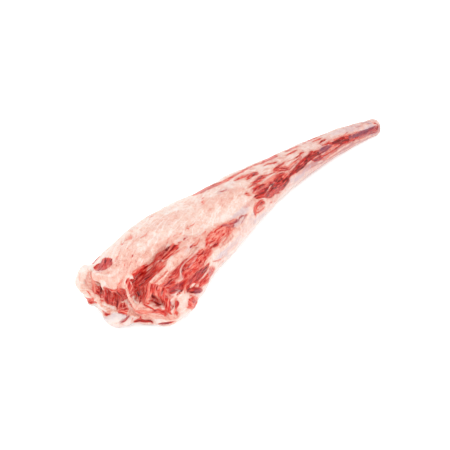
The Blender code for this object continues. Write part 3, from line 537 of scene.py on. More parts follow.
# %% The middle
MIDDLE = [
    ("blush", 0.62, 0.8, ((0.38, 15, 8), (0.41, 22, 14), (0.44, 30, 12), (0.48, 34, 10))),
    ("meat", 0.14, 0.8, ((0.428, 42, 2), (0.45, 41, 5), (0.48, 41, 6), (0.52, 41, 6), (0.545, 41, 5))),
    ("meat", 0.06, 0.6, ((0.545, 30, 5), (0.56, 30, 9), (0.59, 36, 9), (0.63, 38, 6), (0.66, 34, 6))),
    # The fan of dark bundles beyond the waist.
    ("meat", 0.70, 1.0, ((0.412, 44.6, 1.2), (0.424, 47.6, 4.0), (0.438, 51, 7.2), (0.452, 55, 9.6),
        (0.468, 58, 13), (0.484, 60, 14.4), (0.50, 60.4, 15.6), (0.516, 62.4, 18), (0.532, 63, 20),
        (0.546, 62.6, 20), (0.558, 61, 17), (0.568, 59.6, 10), (0.580, 59.4, 4.4), (0.590, 59.6, 2))),
    ("meat", 0.58, 0.95, ((0.468, 69, 2), (0.480, 72.8, 2.4), (0.489, 74.6, 1))),
    ("meat", 0.56, 0.95, ((0.505, 77, 2.4), (0.518, 82, 2.6), (0.526, 84.6, 1.4))),
    ("meat", 0.56, 0.95, ((0.535, 79.4, 3), (0.545, 82, 2.8), (0.552, 83.6, 1.4))),
    ("tone", 0.82, 0.85, ((0.437, 47.6, 1.6), (0.448, 49.4, 2.4), (0.462, 50.6, 2.6), (0.478, 49.6, 2.2),
        (0.495, 48.4, 1.9), (0.51, 48, 1.7), (0.525, 47, 1.4))),
    ("tone", 0.62, 0.7, ((0.445, 44.4, 1.2), (0.46, 45.4, 1.2), (0.48, 45.6, 1.0))),
    ("tone", 0.60, 0.8, ((0.416, 44, 0.9), (0.43, 48.4, 1.2), (0.443, 55, 1.6), (0.455, 60, 1.8))),
    ("tone", 0.80, 0.8, ((0.495, 60, 2.4), (0.505, 62, 3.2), (0.515, 60, 2.8), (0.535, 57, 2.4),
        (0.552, 56, 2.6), (0.562, 58, 1.6))),
    ("tone", 0.62, 0.75, ((0.47, 62, 2.0), (0.482, 67, 3), (0.492, 68, 2.4))),
    ("tone", 0.62, 0.75, ((0.468, 54.6, 1.0), (0.48, 54, 1.2), (0.50, 53, 1.3), (0.523, 51.4, 1.2),
        (0.54, 49.4, 1.0))),
    ("tone", 0.62, 0.75, ((0.51, 68, 1.6), (0.53, 70, 2.4), (0.548, 69, 2))),
    ("tone", 0.58, 0.8, ((0.522, 76, 3), (0.54, 78, 4), (0.55, 76, 3))),
    ("tone", 0.60, 0.7, ((0.528, 42.6, 1.6), (0.54, 43.6, 2.0), (0.553, 45, 1.6))),
    ("film", 0.26, 0.6, ((0.515, 72, 3), (0.535, 76, 5), (0.55, 76, 3))),
    ("film", 0.14, 0.8, ((0.44, 44, 3), (0.48, 46, 3), (0.52, 47, 3))),
    ("sinew", 0.04, 0.9, ((0.448, 54.4, 0.4), (0.47, 52.8, 0.7), (0.49, 51.0, 0.8), (0.515, 48.8, 0.6),
        (0.53, 46.4, 0.3))),
    ("meat", 0.72, 1.0, ((0.545, 44, 2.4), (0.556, 45.4, 3.2), (0.567, 46.4, 2.6), (0.576, 46.8, 1.2))),
    ("meat", 0.56, 1.0, ((0.541, 39, 1.4), (0.552, 41, 2), (0.562, 43.6, 1.6), (0.573, 43, 0.8))),
    ("meat", 0.12, 0.9, ((0.556, 52.6, 1.6), (0.575, 51.4, 2.6), (0.60, 50.4, 2.6), (0.625, 47.8, 2.2),
        (0.64, 45.6, 1.0))),
    ("tone", 0.36, 0.6, ((0.56, 54.6, 1.0), (0.585, 54, 1.0), (0.61, 53, 1.0))),
    # Small openings in the fat along the back.
    ("meat", 0.36, 0.95, ((0.434, -6, 1.4), (0.443, -5, 3.4), (0.456, -1.6, 4.4), (0.47, 0, 4.6),
        (0.484, -1, 3.6), (0.498, 0, 2.6), (0.506, 1, 1))),
    ("meat", 0.60, 1.0, ((0.454, 8, 1.6), (0.466, 7.4, 4), (0.480, 6.6, 5.2), (0.494, 6, 5.6),
        (0.505, 5.6, 3.4))),
    ("meat", 0.54, 1.0, ((0.450, 20.4, 1), (0.460, 22.6, 3.6), (0.474, 24.2, 6), (0.49, 24.4, 6.2),
        (0.503, 24.2, 4.8), (0.516, 24.4, 2.4))),
    ("meat", 0.42, 0.95, ((0.506, 24.6, 2.6), (0.52, 26.6, 2.8), (0.533, 28.6, 2.8), (0.544, 29.4, 1.6))),
    ("tone", 0.50, 0.8, ((0.53, 29.6, 1.0), (0.542, 29.8, 1.0))),
    ("tone", 0.66, 0.6, ((0.464, 22.6, 1.2), (0.482, 23, 1.6), (0.498, 24, 1.2))),
    ("film", 0.20, 0.7, ((0.47, 21, 3), (0.49, 21, 3), (0.51, 22, 2))),
    ("meat", 0.50, 0.95, ((0.434, 25.6, 1.0), (0.446, 26.2, 1.8), (0.456, 28, 2.6), (0.464, 30, 2.4))),
    ("meat", 0.58, 1.0, ((0.424, 37.8, 0.9), (0.435, 34.6, 3.2), (0.448, 35.2, 4.2), (0.460, 36.6, 5.2),
        (0.473, 38.4, 4.4), (0.484, 40.6, 2))),
    ("tone", 0.64, 0.9, ((0.455, 35.4, 1.4), (0.465, 38, 2.2), (0.473, 40, 1.2))),
    ("film", 0.40, 0.8, ((0.43, 34.4, 2), (0.44, 35.4, 2.6))),
    ("meat", 0.02, 0.8, ((0.482, 36.6, 1.4), (0.50, 36.0, 2), (0.52, 35.8, 2.2), (0.535, 36.2, 1.6))),
    ("sinew", 0.35, 0.7, ((0.478, 33.2, 0.6), (0.50, 31.6, 1.0), (0.52, 31.6, 1.2), (0.542, 33.8, 1.0))),
    ("meat", 0.62, 1.0, ((0.404, 31.2, 1.0), (0.4115, 31.6, 1.5))),
    ("meat", 0.10, 0.7, ((0.40, 33.6, 2), (0.409, 37, 3.4), (0.418, 42, 2.0))),
    ("meat", 0.08, 0.5, ((0.385, 21.4, 1.0), (0.40, 21, 1.8), (0.413, 21, 1.0))),
    ("meat", 0.48, 0.95, ((0.362, 1.0, 1.2), (0.372, 1.8, 2.2), (0.385, 1.6, 1.4))),
    ("film", 0.40, 0.7, ((0.352, 0, 3), (0.372, 0, 5), (0.39, 2, 3), (0.41, 0, 5))),
    ("meat", 0.56, 1.0, ((0.549, 24.2, 2), (0.562, 22.8, 4), (0.58, 21.6, 4.6), (0.60, 20.6, 4),
        (0.611, 19.6, 1.8))),
    ("meat", 0.60, 1.0, ((0.553, 27.6, 2.6), (0.566, 30.6, 5.4), (0.580, 35, 5.6), (0.592, 39, 3.8),
        (0.60, 41, 1.4))),
    ("film", 0.30, 0.8, ((0.558, 34.6, 2.4), (0.572, 37.6, 3), (0.585, 40, 2))),
    ("tone", 0.06, 0.8, ((0.576, 27, 0.9), (0.588, 27.6, 1.4), (0.60, 28.6, 1.4))),
    ("meat", 0.10, 0.7, ((0.612, 22, 2), (0.622, 23.6, 2), (0.632, 25, 1.2))),
    ("sinew", 0.55, 0.9, ((0.598, 30.4, 1.0), (0.608, 29.8, 2.0), (0.622, 28, 1.4))),
    ("meat", 0.52, 1.0, ((0.549, -3.6, 1.6), (0.560, -2.8, 3.4), (0.570, -0.4, 5), (0.578, 3.4, 5),
        (0.588, 5.4, 2.8))),
    ("tone", 0.50, 0.7, ((0.568, -2, 2), (0.576, 4, 2.4))),
    ("blush", 0.85, 0.8, ((0.508, -15, 3), (0.522, -15, 3))),
    ("blush", 0.85, 0.8, ((0.534, 10, 3), (0.545, 16, 4), (0.552, 22, 2))),
    ("blush", 0.80, 0.8, ((0.605, -6, 3), (0.615, 2, 5), (0.622, 8, 3))),
    ("meat", 0.48, 1.0, ((0.628, 2, 1.4), (0.645, 2, 3.4), (0.66, 2.4, 4), (0.676, 3, 2.2))),
    ("tone", 0.46, 0.6, ((0.646, 3, 1.4), (0.66, 3, 1.6))),
    ("meat", 0.62, 1.0, ((0.634, 28.2, 1.4), (0.646, 27.6, 2.8), (0.66, 26.4, 3.4), (0.672, 23, 4),
        (0.686, 22, 2))),
    ("tone", 0.34, 0.8, ((0.668, 21, 1.6), (0.684, 21.6, 1.4))),
    ("film", 0.5, 0.8, ((0.640, 36, 1.4), (0.655, 33.6, 2.0), (0.668, 31.6, 1.4))),
    ("meat", 0.62, 0.9, ((0.588, 47.2, 0.6), (0.60, 45.8, 1.2), (0.616, 44, 1.2), (0.632, 41.6, 0.6))),
    ("film", 0.45, 0.8, ((0.59, 47, 1.0), (0.61, 45, 1.3), (0.63, 42, 0.9))),
    # The second bundle.
    ("meat", 0.80, 1.0, ((0.580, 58.8, 2.0), (0.594, 58.8, 5.0), (0.61, 58.6, 8.4), (0.625, 56, 12.6),
        (0.64, 55.4, 14.6), (0.655, 53, 15), (0.67, 50, 13.4), (0.685, 48, 12.6), (0.70, 45, 11.6),
        (0.708, 37, 4))),
    ("tone", 0.88, 0.85, ((0.612, 59, 2), (0.624, 61.6, 3), (0.636, 64, 4), (0.652, 65, 3.4),
        (0.664, 60, 2.4), (0.68, 58, 1.6))),
    ("tone", 0.66, 0.8, ((0.632, 44, 2), (0.648, 42.6, 2.4), (0.665, 40.6, 2.4), (0.685, 38.6, 2.2),
        (0.70, 35.4, 1.4))),
    ("tone", 0.84, 0.7, ((0.655, 50, 2), (0.67, 51, 2.6), (0.688, 49, 2.4))),
    ("tone", 0.34, 0.9, ((0.636, 52.4, 1.6), (0.646, 51, 2.6), (0.656, 50.6, 1.8))),
    ("film", 0.40, 0.9, ((0.636, 52.4, 1.6), (0.646, 51, 2.6), (0.656, 50.6, 1.8))),
    ("tone", 0.56, 0.8, ((0.603, 54, 1.0), (0.62, 51, 1.2), (0.634, 48.6, 1.0))),
    ("meat", 0.74, 1.0, ((0.678, 53, 4), (0.692, 52, 7), (0.708, 51.6, 8.6), (0.722, 52, 9), (0.734, 53, 8),
        (0.741, 54, 4.4))),
    ("tone", 0.84, 0.8, ((0.70, 51, 3), (0.716, 52, 5), (0.733, 53.4, 5), (0.74, 54, 2.4))),
    ("tone", 0.86, 0.7, ((0.704, 52, 2), (0.712, 52.6, 2.4))),
    ("meat", 0.34, 0.95, ((0.700, 44, 1.8), (0.712, 42.6, 2.4), (0.726, 44, 2.2), (0.738, 47, 1.2))),
    ("film", 0.75, 0.7, ((0.575, 74, 4), (0.60, 84, 10), (0.63, 88, 10), (0.66, 84, 8), (0.68, 78, 6))),
    ("blush", 0.95, 0.8, ((0.62, 72, 4), (0.65, 78, 9), (0.69, 80, 14))),
    ("sinew", 0.30, 0.9, ((0.574, 53.2, 0.5), (0.604, 48, 0.8), (0.635, 43.4, 0.9), (0.669, 38, 0.9),
        (0.70, 34.6, 0.5))),
]
print(len(MIDDLE), "rows")

# %% [markdown]
# ## The map: towards the tip
#
# Here the muscles are slim and lie under membrane, so most rows are faint: salmon flank, muscle seen
# through the film, the brown rim round the tip's cut and small stains along the back.

# %% Towards the tip
TIP_END = [
    # The salmon flank that runs on to the tip, under and around the last bundles.
    ("blush", 1.1, 0.95, ((0.66, 72, 5), (0.70, 80, 14), (0.76, 84, 20), (0.82, 85, 22), (0.89, 84, 26),
        (0.95, 80, 28), (0.98, 78, 26))),
    ("film", 0.30, 0.7, ((0.72, 88, 10), (0.80, 96, 14), (0.88, 98, 14))),
    # The purple window between the second and the third bundle.
    ("meat", 0.54, 0.95, ((0.734, 51, 7), (0.745, 52, 11), (0.756, 53, 12), (0.768, 53, 8), (0.78, 51, 3))),
    ("film", 0.72, 0.9, ((0.736, 52, 6), (0.748, 52, 10), (0.760, 54, 11), (0.772, 53, 8), (0.786, 50, 4))),
    ("tone", 0.60, 0.8, ((0.742, 56, 3), (0.756, 59, 4))),
    ("meat", 0.70, 1.0, ((0.692, 62.6, 2.4), (0.704, 66.6, 6), (0.716, 69, 7.6), (0.730, 70, 7),
        (0.742, 71.6, 4))),
    ("meat", 0.66, 0.95, ((0.700, 72, 3), (0.712, 75, 4), (0.726, 78.6, 4), (0.738, 81, 2.4))),
    ("film", 0.62, 0.9, ((0.700, 68, 4), (0.712, 73, 5), (0.726, 77, 6), (0.740, 80, 5), (0.75, 84, 2))),
    ("tone", 0.66, 0.8, ((0.705, 64, 2.4), (0.722, 66, 3), (0.736, 66, 2.4))),
    ("meat", 0.52, 0.95, ((0.735, 74.4, 2.4), (0.752, 75, 4.4), (0.768, 76.6, 5.4), (0.782, 74.4, 4))),
    ("tone", 0.54, 0.8, ((0.744, 76.4, 1.6), (0.758, 76, 2.2), (0.772, 78.4, 2.2))),
    ("meat", 0.30, 0.9, ((0.752, 68.6, 2.4), (0.766, 66.6, 4.4), (0.78, 62.4, 6), (0.794, 60, 6.4),
        (0.808, 62, 4.4))),
    ("meat", 0.64, 0.95, ((0.785, 73, 2.6), (0.798, 72, 3.6), (0.81, 71, 3.6), (0.83, 71.6, 2.4))),
    ("meat", 0.06, 0.7, ((0.735, 86, 4), (0.76, 92, 7), (0.79, 97, 6), (0.80, 102, 3))),
    ("meat", 0.30, 0.6, ((0.664, 80, 1.6), (0.672, 86, 2.4), (0.678, 91, 1.2))),
    ("meat", 0.20, 0.6, ((0.685, 84, 3), (0.692, 92, 4), (0.697, 98, 2))),
    ("blush", 0.2, 0.7, ((0.715, 86, 3), (0.735, 92, 3))),
    # The third bundle.
    ("meat", 0.88, 1.0, ((0.772, 38, 2.0), (0.785, 43, 6.0), (0.798, 47, 9.0), (0.81, 51, 14),
        (0.822, 53, 17), (0.836, 55, 18), (0.85, 56, 17), (0.862, 57, 14), (0.867, 58, 5))),
    ("tone", 0.90, 0.95, ((0.826, 67, 3), (0.838, 64, 4.6), (0.848, 60.6, 6.4), (0.858, 58.6, 6.4))),
    ("tone", 0.86, 0.8, ((0.80, 48.4, 2), (0.811, 50.6, 3.4), (0.818, 51, 2.6))),
    ("tone", 0.90, 0.7, ((0.812, 66, 2.4), (0.822, 67.6, 3))),
    ("tone", 0.54, 0.8, ((0.822, 57, 1.6), (0.829, 58.6, 2.4), (0.835, 56, 1.6))),
    ("tone", 0.60, 0.7, ((0.822, 44.6, 2), (0.834, 45.6, 2))),
    ("film", 0.16, 0.7, ((0.79, 45, 3), (0.80, 48, 5), (0.81, 58, 4))),
    ("meat", 0.32, 0.95, ((0.841, 42.4, 2.0), (0.849, 44.6, 3.6), (0.857, 46.4, 3.0))),
    # Muscle seen through membrane at the tip.
    ("meat", 0.34, 0.80, ((0.863, 66, 12), (0.90, 68, 16), (0.93, 70, 20), (0.955, 70, 22), (0.968, 70, 22))),
    ("film", 0.42, 0.9, ((0.90, 84, 8), (0.93, 82, 14), (0.955, 78, 26), (0.975, 72, 30))),
    ("meat", 0.66, 0.95, ((0.862, 58, 7), (0.88, 59, 7), (0.90, 61, 8), (0.92, 63, 9), (0.94, 62, 10),
        (0.956, 58, 8))),
    ("film", 0.74, 0.95, ((0.860, 56, 9), (0.88, 58, 11), (0.90, 60, 13), (0.92, 61, 18), (0.94, 60, 20),
        (0.960, 56, 18))),
    ("film", 0.55, 0.85, ((0.905, 72, 8), (0.92, 76, 10), (0.94, 74, 12), (0.96, 70, 12))),
    ("tone", 0.84, 0.85, ((0.918, 64, 3), (0.931, 64.6, 4.6), (0.946, 61, 4), (0.953, 56, 2))),
    ("tone", 0.66, 0.8, ((0.874, 58, 2.6), (0.884, 59, 3))),
    ("meat", 0.26, 0.85, ((0.858, 41.4, 2), (0.872, 44, 3.6), (0.888, 47, 3.4), (0.90, 50, 2))),
    ("meat", 0.64, 0.95, ((0.853, 76.4, 2), (0.868, 79.6, 3.6), (0.882, 83.4, 3.8), (0.893, 86, 2.2))),
    ("film", 0.35, 0.8, ((0.87, 80, 3), (0.885, 85, 3))),
    ("meat", 0.26, 0.85, ((0.892, 86.6, 3), (0.905, 90, 3.6), (0.918, 93.6, 3))),
    ("meat", 0.48, 0.8, ((0.936, 86, 4), (0.945, 91, 6), (0.954, 94, 6), (0.966, 96, 5))),
    ("film", 0.45, 0.8, ((0.935, 86, 8), (0.955, 94, 9), (0.968, 96, 7))),
    ("meat", 0.48, 0.6, ((0.946, 69.6, 2), (0.958, 70.4, 3), (0.968, 66, 4))),
    ("film", 0.40, 0.8, ((0.946, 69.6, 4), (0.958, 70.4, 5), (0.968, 66, 6))),
    ("meat", 0.40, 0.8, ((0.775, 84, 1.6), (0.80, 82, 2.6), (0.83, 80, 2.4), (0.855, 80, 1.4))),
    ("fat", 0.34, 0.8, ((0.76, 96, 3), (0.79, 93, 4.6), (0.82, 90, 4.6), (0.85, 89, 3))),
    ("fat", 0.40, 0.8, ((0.87, 90, 2.4), (0.89, 95, 4), (0.92, 101, 4), (0.945, 104, 3))),
    ("meat", 0.12, 0.7, ((0.90, 20, 1.4), (0.925, 18, 2.4), (0.95, 18, 2.2), (0.962, 20, 1.2))),
    ("meat", 0.16, 0.7, ((0.93, 2, 1.4), (0.945, 0, 2.4), (0.962, 2, 1.6))),
    # The brown rim round the tip's cut.
    ("meat", 0.36, 0.9, ((0.963, 33, 2.4), (0.968, 26, 3), (0.974, 16, 2.4))),
    ("meat", 0.80, 1.0, ((0.968, 30, 1.4), (0.9735, 42, 3.4), (0.976, 54, 3.2), (0.974, 64, 3.0),
        (0.970, 76, 2.2))),
    ("meat", 0.46, 0.8, ((0.966, 83, 2), (0.970, 90, 3), (0.968, 98, 2))),
    # Openings and stains along the back.
    ("meat", 0.58, 1.0, ((0.746, 20.0, 2), (0.755, 18.6, 3.8), (0.768, 17.0, 4.6), (0.778, 16.6, 3.0),
        (0.785, 16, 1.6))),
    ("meat", 0.42, 0.95, ((0.732, 0.8, 2.4), (0.745, 0.4, 4.4), (0.757, -1, 5.4), (0.768, -1, 5),
        (0.777, 2, 2.6))),
    ("film", 0.4, 0.7, ((0.728, -1, 3), (0.742, -1, 4))),
    ("blush", 0.90, 0.8, ((0.745, 24, 3), (0.757, 29, 4.4), (0.772, 31, 4.4), (0.785, 30, 3))),
    ("meat", 0.50, 0.9, ((0.756, 33.4, 1.6), (0.77, 36.6, 2.6), (0.785, 40, 2.4))),
    ("meat", 0.04, 0.75, ((0.782, 30, 3), (0.80, 33, 4), (0.835, 33, 4), (0.862, 28, 4))),
    ("blush", 0.75, 0.8, ((0.88, -30, 6), (0.90, 0, 12), (0.92, 30, 10))),
    ("film", 0.72, 0.85, ((0.93, -34, 10), (0.945, -10, 14), (0.955, 12, 14), (0.955, 40, 8))),
    ("film", 0.56, 0.8, ((0.82, 0, 12), (0.85, 8, 16), (0.88, 16, 18), (0.91, 14, 20))),
    ("blush", 0.85, 0.7, ((0.858, -6, 5), (0.868, 0, 6), (0.87, 10, 4))),
    ("film", 0.22, 0.7, ((0.66, 8, 6), (0.69, 10, 9), (0.72, 20, 8))),
    ("blush", 0.85, 0.6, ((0.70, 34, 4), (0.72, 36, 5), (0.745, 38, 3))),
]
print(len(TIP_END), "rows")

# %% [markdown]
# ## The map: the far side and the belly
#
# The fat cap reaches over to the far side, with blotches and veins in it, and a strip of muscle shows past
# its edge. The belly has long bands where the muscles under the bones lie bare.

# %% The far side and the belly
FAR_BACK = [
    # Blotches and veins in the fat cap near the butt.
    ("blush", 0.74, 0.7, ((-0.02, -32, 6), (0.0, -24, 7), (0.02, -14, 6), (0.03, -4, 4))),
    ("blush", 0.52, 0.6, ((0.0, -6, 6), (0.03, -8, 8), (0.07, -18, 8), (0.10, -24, 6))),
    ("meat", 0.04, 0.55, ((-0.01, -22, 1.0), (0.0, -20.6, 1.6), (0.02, -20.6, 1.8), (0.035, -22, 1.2))),
    ("meat", 0.04, 0.50, ((0.035, -21, 0.9), (0.05, -23, 1.3), (0.065, -27, 1.3), (0.08, -30, 1.6))),
    ("meat", 0.06, 0.62, ((0.082, -30.2, 1.2), (0.09, -30, 2.6), (0.099, -28.6, 3), (0.108, -30.2, 2.0))),
    ("meat", 0.04, 0.55, ((0.095, -25.4, 2), (0.105, -24, 2.2))),
    ("meat", 0.06, 0.65, ((0.099, -15, 0.9), (0.113, -14.4, 1.9), (0.127, -15, 1.2), (0.135, -16, 0.6))),
    ("meat", 0.04, 0.5, ((0.0, -5, 0.8), (0.02, -2.6, 1.4), (0.04, -6, 1.4), (0.056, -10, 0.8))),
    ("meat", 0.06, 0.5, ((0.013, 1.6, 0.9), (0.031, 2.2, 0.9))),
    ("meat", 0.04, 0.5, ((-0.012, -10, 1.2), (0.005, -8, 1.0), (0.02, -9, 0.8))),
    ("meat", 0.03, 0.45, ((0.04, -16, 0.9), (0.07, -18, 1.0), (0.10, -20, 1.2), (0.14, -26, 0.8))),
    ("meat", 0.06, 0.55, ((0.068, 9.8, 0.6), (0.09, 10.2, 0.9), (0.115, 10.8, 0.8), (0.14, 12.4, 1.0),
        (0.152, 14.6, 1.4), (0.17, 15, 0.9), (0.20, 14.4, 0.9), (0.216, 16, 0.8), (0.236, 18.4, 0.5))),
    ("meat", 0.14, 0.7, ((0.178, 15.2, 0.6), (0.188, 14.6, 0.9), (0.198, 14.4, 1.1), (0.21, 15.6, 0.6))),
    ("meat", 0.04, 0.5, ((0.12, 9.2, 0.7), (0.135, 8.4, 0.9), (0.151, 8, 0.6))),
    ("meat", 0.03, 0.45, ((0.17, 5, 0.7), (0.19, 6.4, 0.9), (0.21, 5, 0.7), (0.235, 2, 0.6))),
    ("meat", 0.04, 0.55, ((0.192, -38, 1.0), (0.20, -37.4, 1.4), (0.212, -39, 0.9))),
    ("blush", 0.60, 0.6, ((0.15, -16, 8), (0.19, -14, 12), (0.23, -18, 9))),
    ("blush", 0.66, 0.6, ((0.28, 12, 8), (0.31, 4, 10), (0.34, 12, 12), (0.38, 12, 10))),
    ("meat", 0.02, 0.5, ((0.290, 0, 2.4), (0.305, -4, 4.4), (0.318, -10, 5), (0.326, -20, 3))),
    ("meat", 0.02, 0.45, ((0.26, 18, 1.0), (0.28, 13, 1.0), (0.30, 14, 0.9))),
    ("meat", 0.02, 0.45, ((0.30, 24, 1.4), (0.32, 22, 1.8), (0.34, 25, 1.4), (0.36, 24, 1.2))),
    ("blush", 0.10, 0.7, ((0.215, 26, 3), (0.25, 30, 4), (0.29, 36, 4), (0.33, 38, 4))),
    ("blush", 0.06, 0.8, ((0.23, -28, 5), (0.255, -24, 6), (0.275, -30, 6))),
    ("blush", 0.10, 0.7, ((0.40, -6, 5), (0.42, -8, 6), (0.44, -14, 4))),
    ("film", 0.22, 0.6, ((0.39, -2, 5), (0.41, -2, 7), (0.43, -8, 5))),
    # The far strip of muscle seen past the fat, and its openings further on.
    ("meat", 0.32, 1.0, ((0.332, -33, 3.6), (0.348, -32, 8), (0.366, -31, 8.6), (0.385, -26, 8),
        (0.402, -22.6, 6), (0.42, -22, 5.4), (0.445, -21, 5.4), (0.461, -22, 4.4), (0.468, -24, 2))),
    ("film", 0.25, 0.7, ((0.352, -30, 5), (0.375, -26, 5), (0.39, -24, 4))),
    ("tone", 0.34, 0.7, ((0.345, -33, 2), (0.362, -34, 3), (0.376, -30, 2.4))),
    ("tone", 0.54, 0.85, ((0.383, -21, 1.4), (0.395, -19.4, 2.0), (0.41, -18.6, 2), (0.43, -19, 1.4),
        (0.445, -18.6, 2), (0.46, -20, 1.6))),
    ("meat", 0.32, 0.95, ((0.469, -21, 1.6), (0.482, -22.4, 4.4), (0.50, -24.4, 5.6), (0.518, -27, 6.6),
        (0.53, -30, 5))),
    ("tone", 0.36, 0.8, ((0.474, -20.6, 1.4), (0.482, -19.4, 1.8))),
    ("meat", 0.30, 0.9, ((0.539, -24.6, 5), (0.549, -24, 8), (0.557, -20, 6))),
    ("meat", 0.46, 1.0, ((0.560, -17.6, 2.4), (0.574, -21, 8), (0.59, -25.4, 10.6), (0.603, -27, 13),
        (0.613, -28, 13))),
    ("tone", 0.58, 0.8, ((0.565, -16, 1.6), (0.58, -20, 3), (0.595, -24, 3.4))),
    ("tone", 0.62, 0.8, ((0.602, -27, 4), (0.61, -24, 5))),
    ("meat", 0.36, 0.95, ((0.645, -15.6, 3), (0.662, -17.6, 6.4), (0.68, -20.4, 8.6), (0.696, -18, 6))),
    ("tone", 0.50, 0.7, ((0.665, -18, 2.6), (0.682, -21, 3.4))),
    ("meat", 0.12, 0.8, ((0.710, -11, 1.8), (0.718, -15, 2.8), (0.727, -20, 2.2))),
    ("meat", 0.38, 0.95, ((0.737, -19, 4), (0.748, -25, 9), (0.76, -27, 10), (0.77, -22, 6))),
    ("tone", 0.54, 0.8, ((0.745, -25, 2.6), (0.758, -34, 3))),
    ("blush", 0.95, 0.8, ((0.768, -15, 4), (0.785, -18, 6), (0.802, -22, 5))),
    ("blush", 0.05, 0.8, ((0.692, -30, 2), (0.702, -14, 2), (0.708, -4, 2))),
]
BELLY = [
    # Long bands on the belly, where the bones' muscles show between the fat.
    ("meat", 0.34, 0.9, ((0.14, 162, 2), (0.20, 160, 5), (0.30, 158, 8), (0.42, 158, 9), (0.52, 160, 6),
        (0.57, 162, 2))),
    ("film", 0.40, 0.7, ((0.18, 156, 3), (0.30, 152, 5), (0.45, 152, 5))),
    ("meat", 0.42, 0.9, ((0.60, 158, 3), (0.68, 156, 10), (0.76, 156, 10), (0.82, 158, 4))),
    ("meat", 0.30, 0.8, ((0.06, 140, 3), (0.12, 142, 5), (0.18, 140, 2))),
]
print(len(FAR_BACK) + len(BELLY), "rows")

# %% [markdown]
# ## The map: the cut butt
#
# On the cut end the vertebra sits in the middle under its muscles, with gristle below it and the fat cap
# folding over the top. These rows are places on that face in millimetres, across towards the near side
# and up, with half widths. The pockets between the lobes are painted darkest, since little light reaches
# into them.

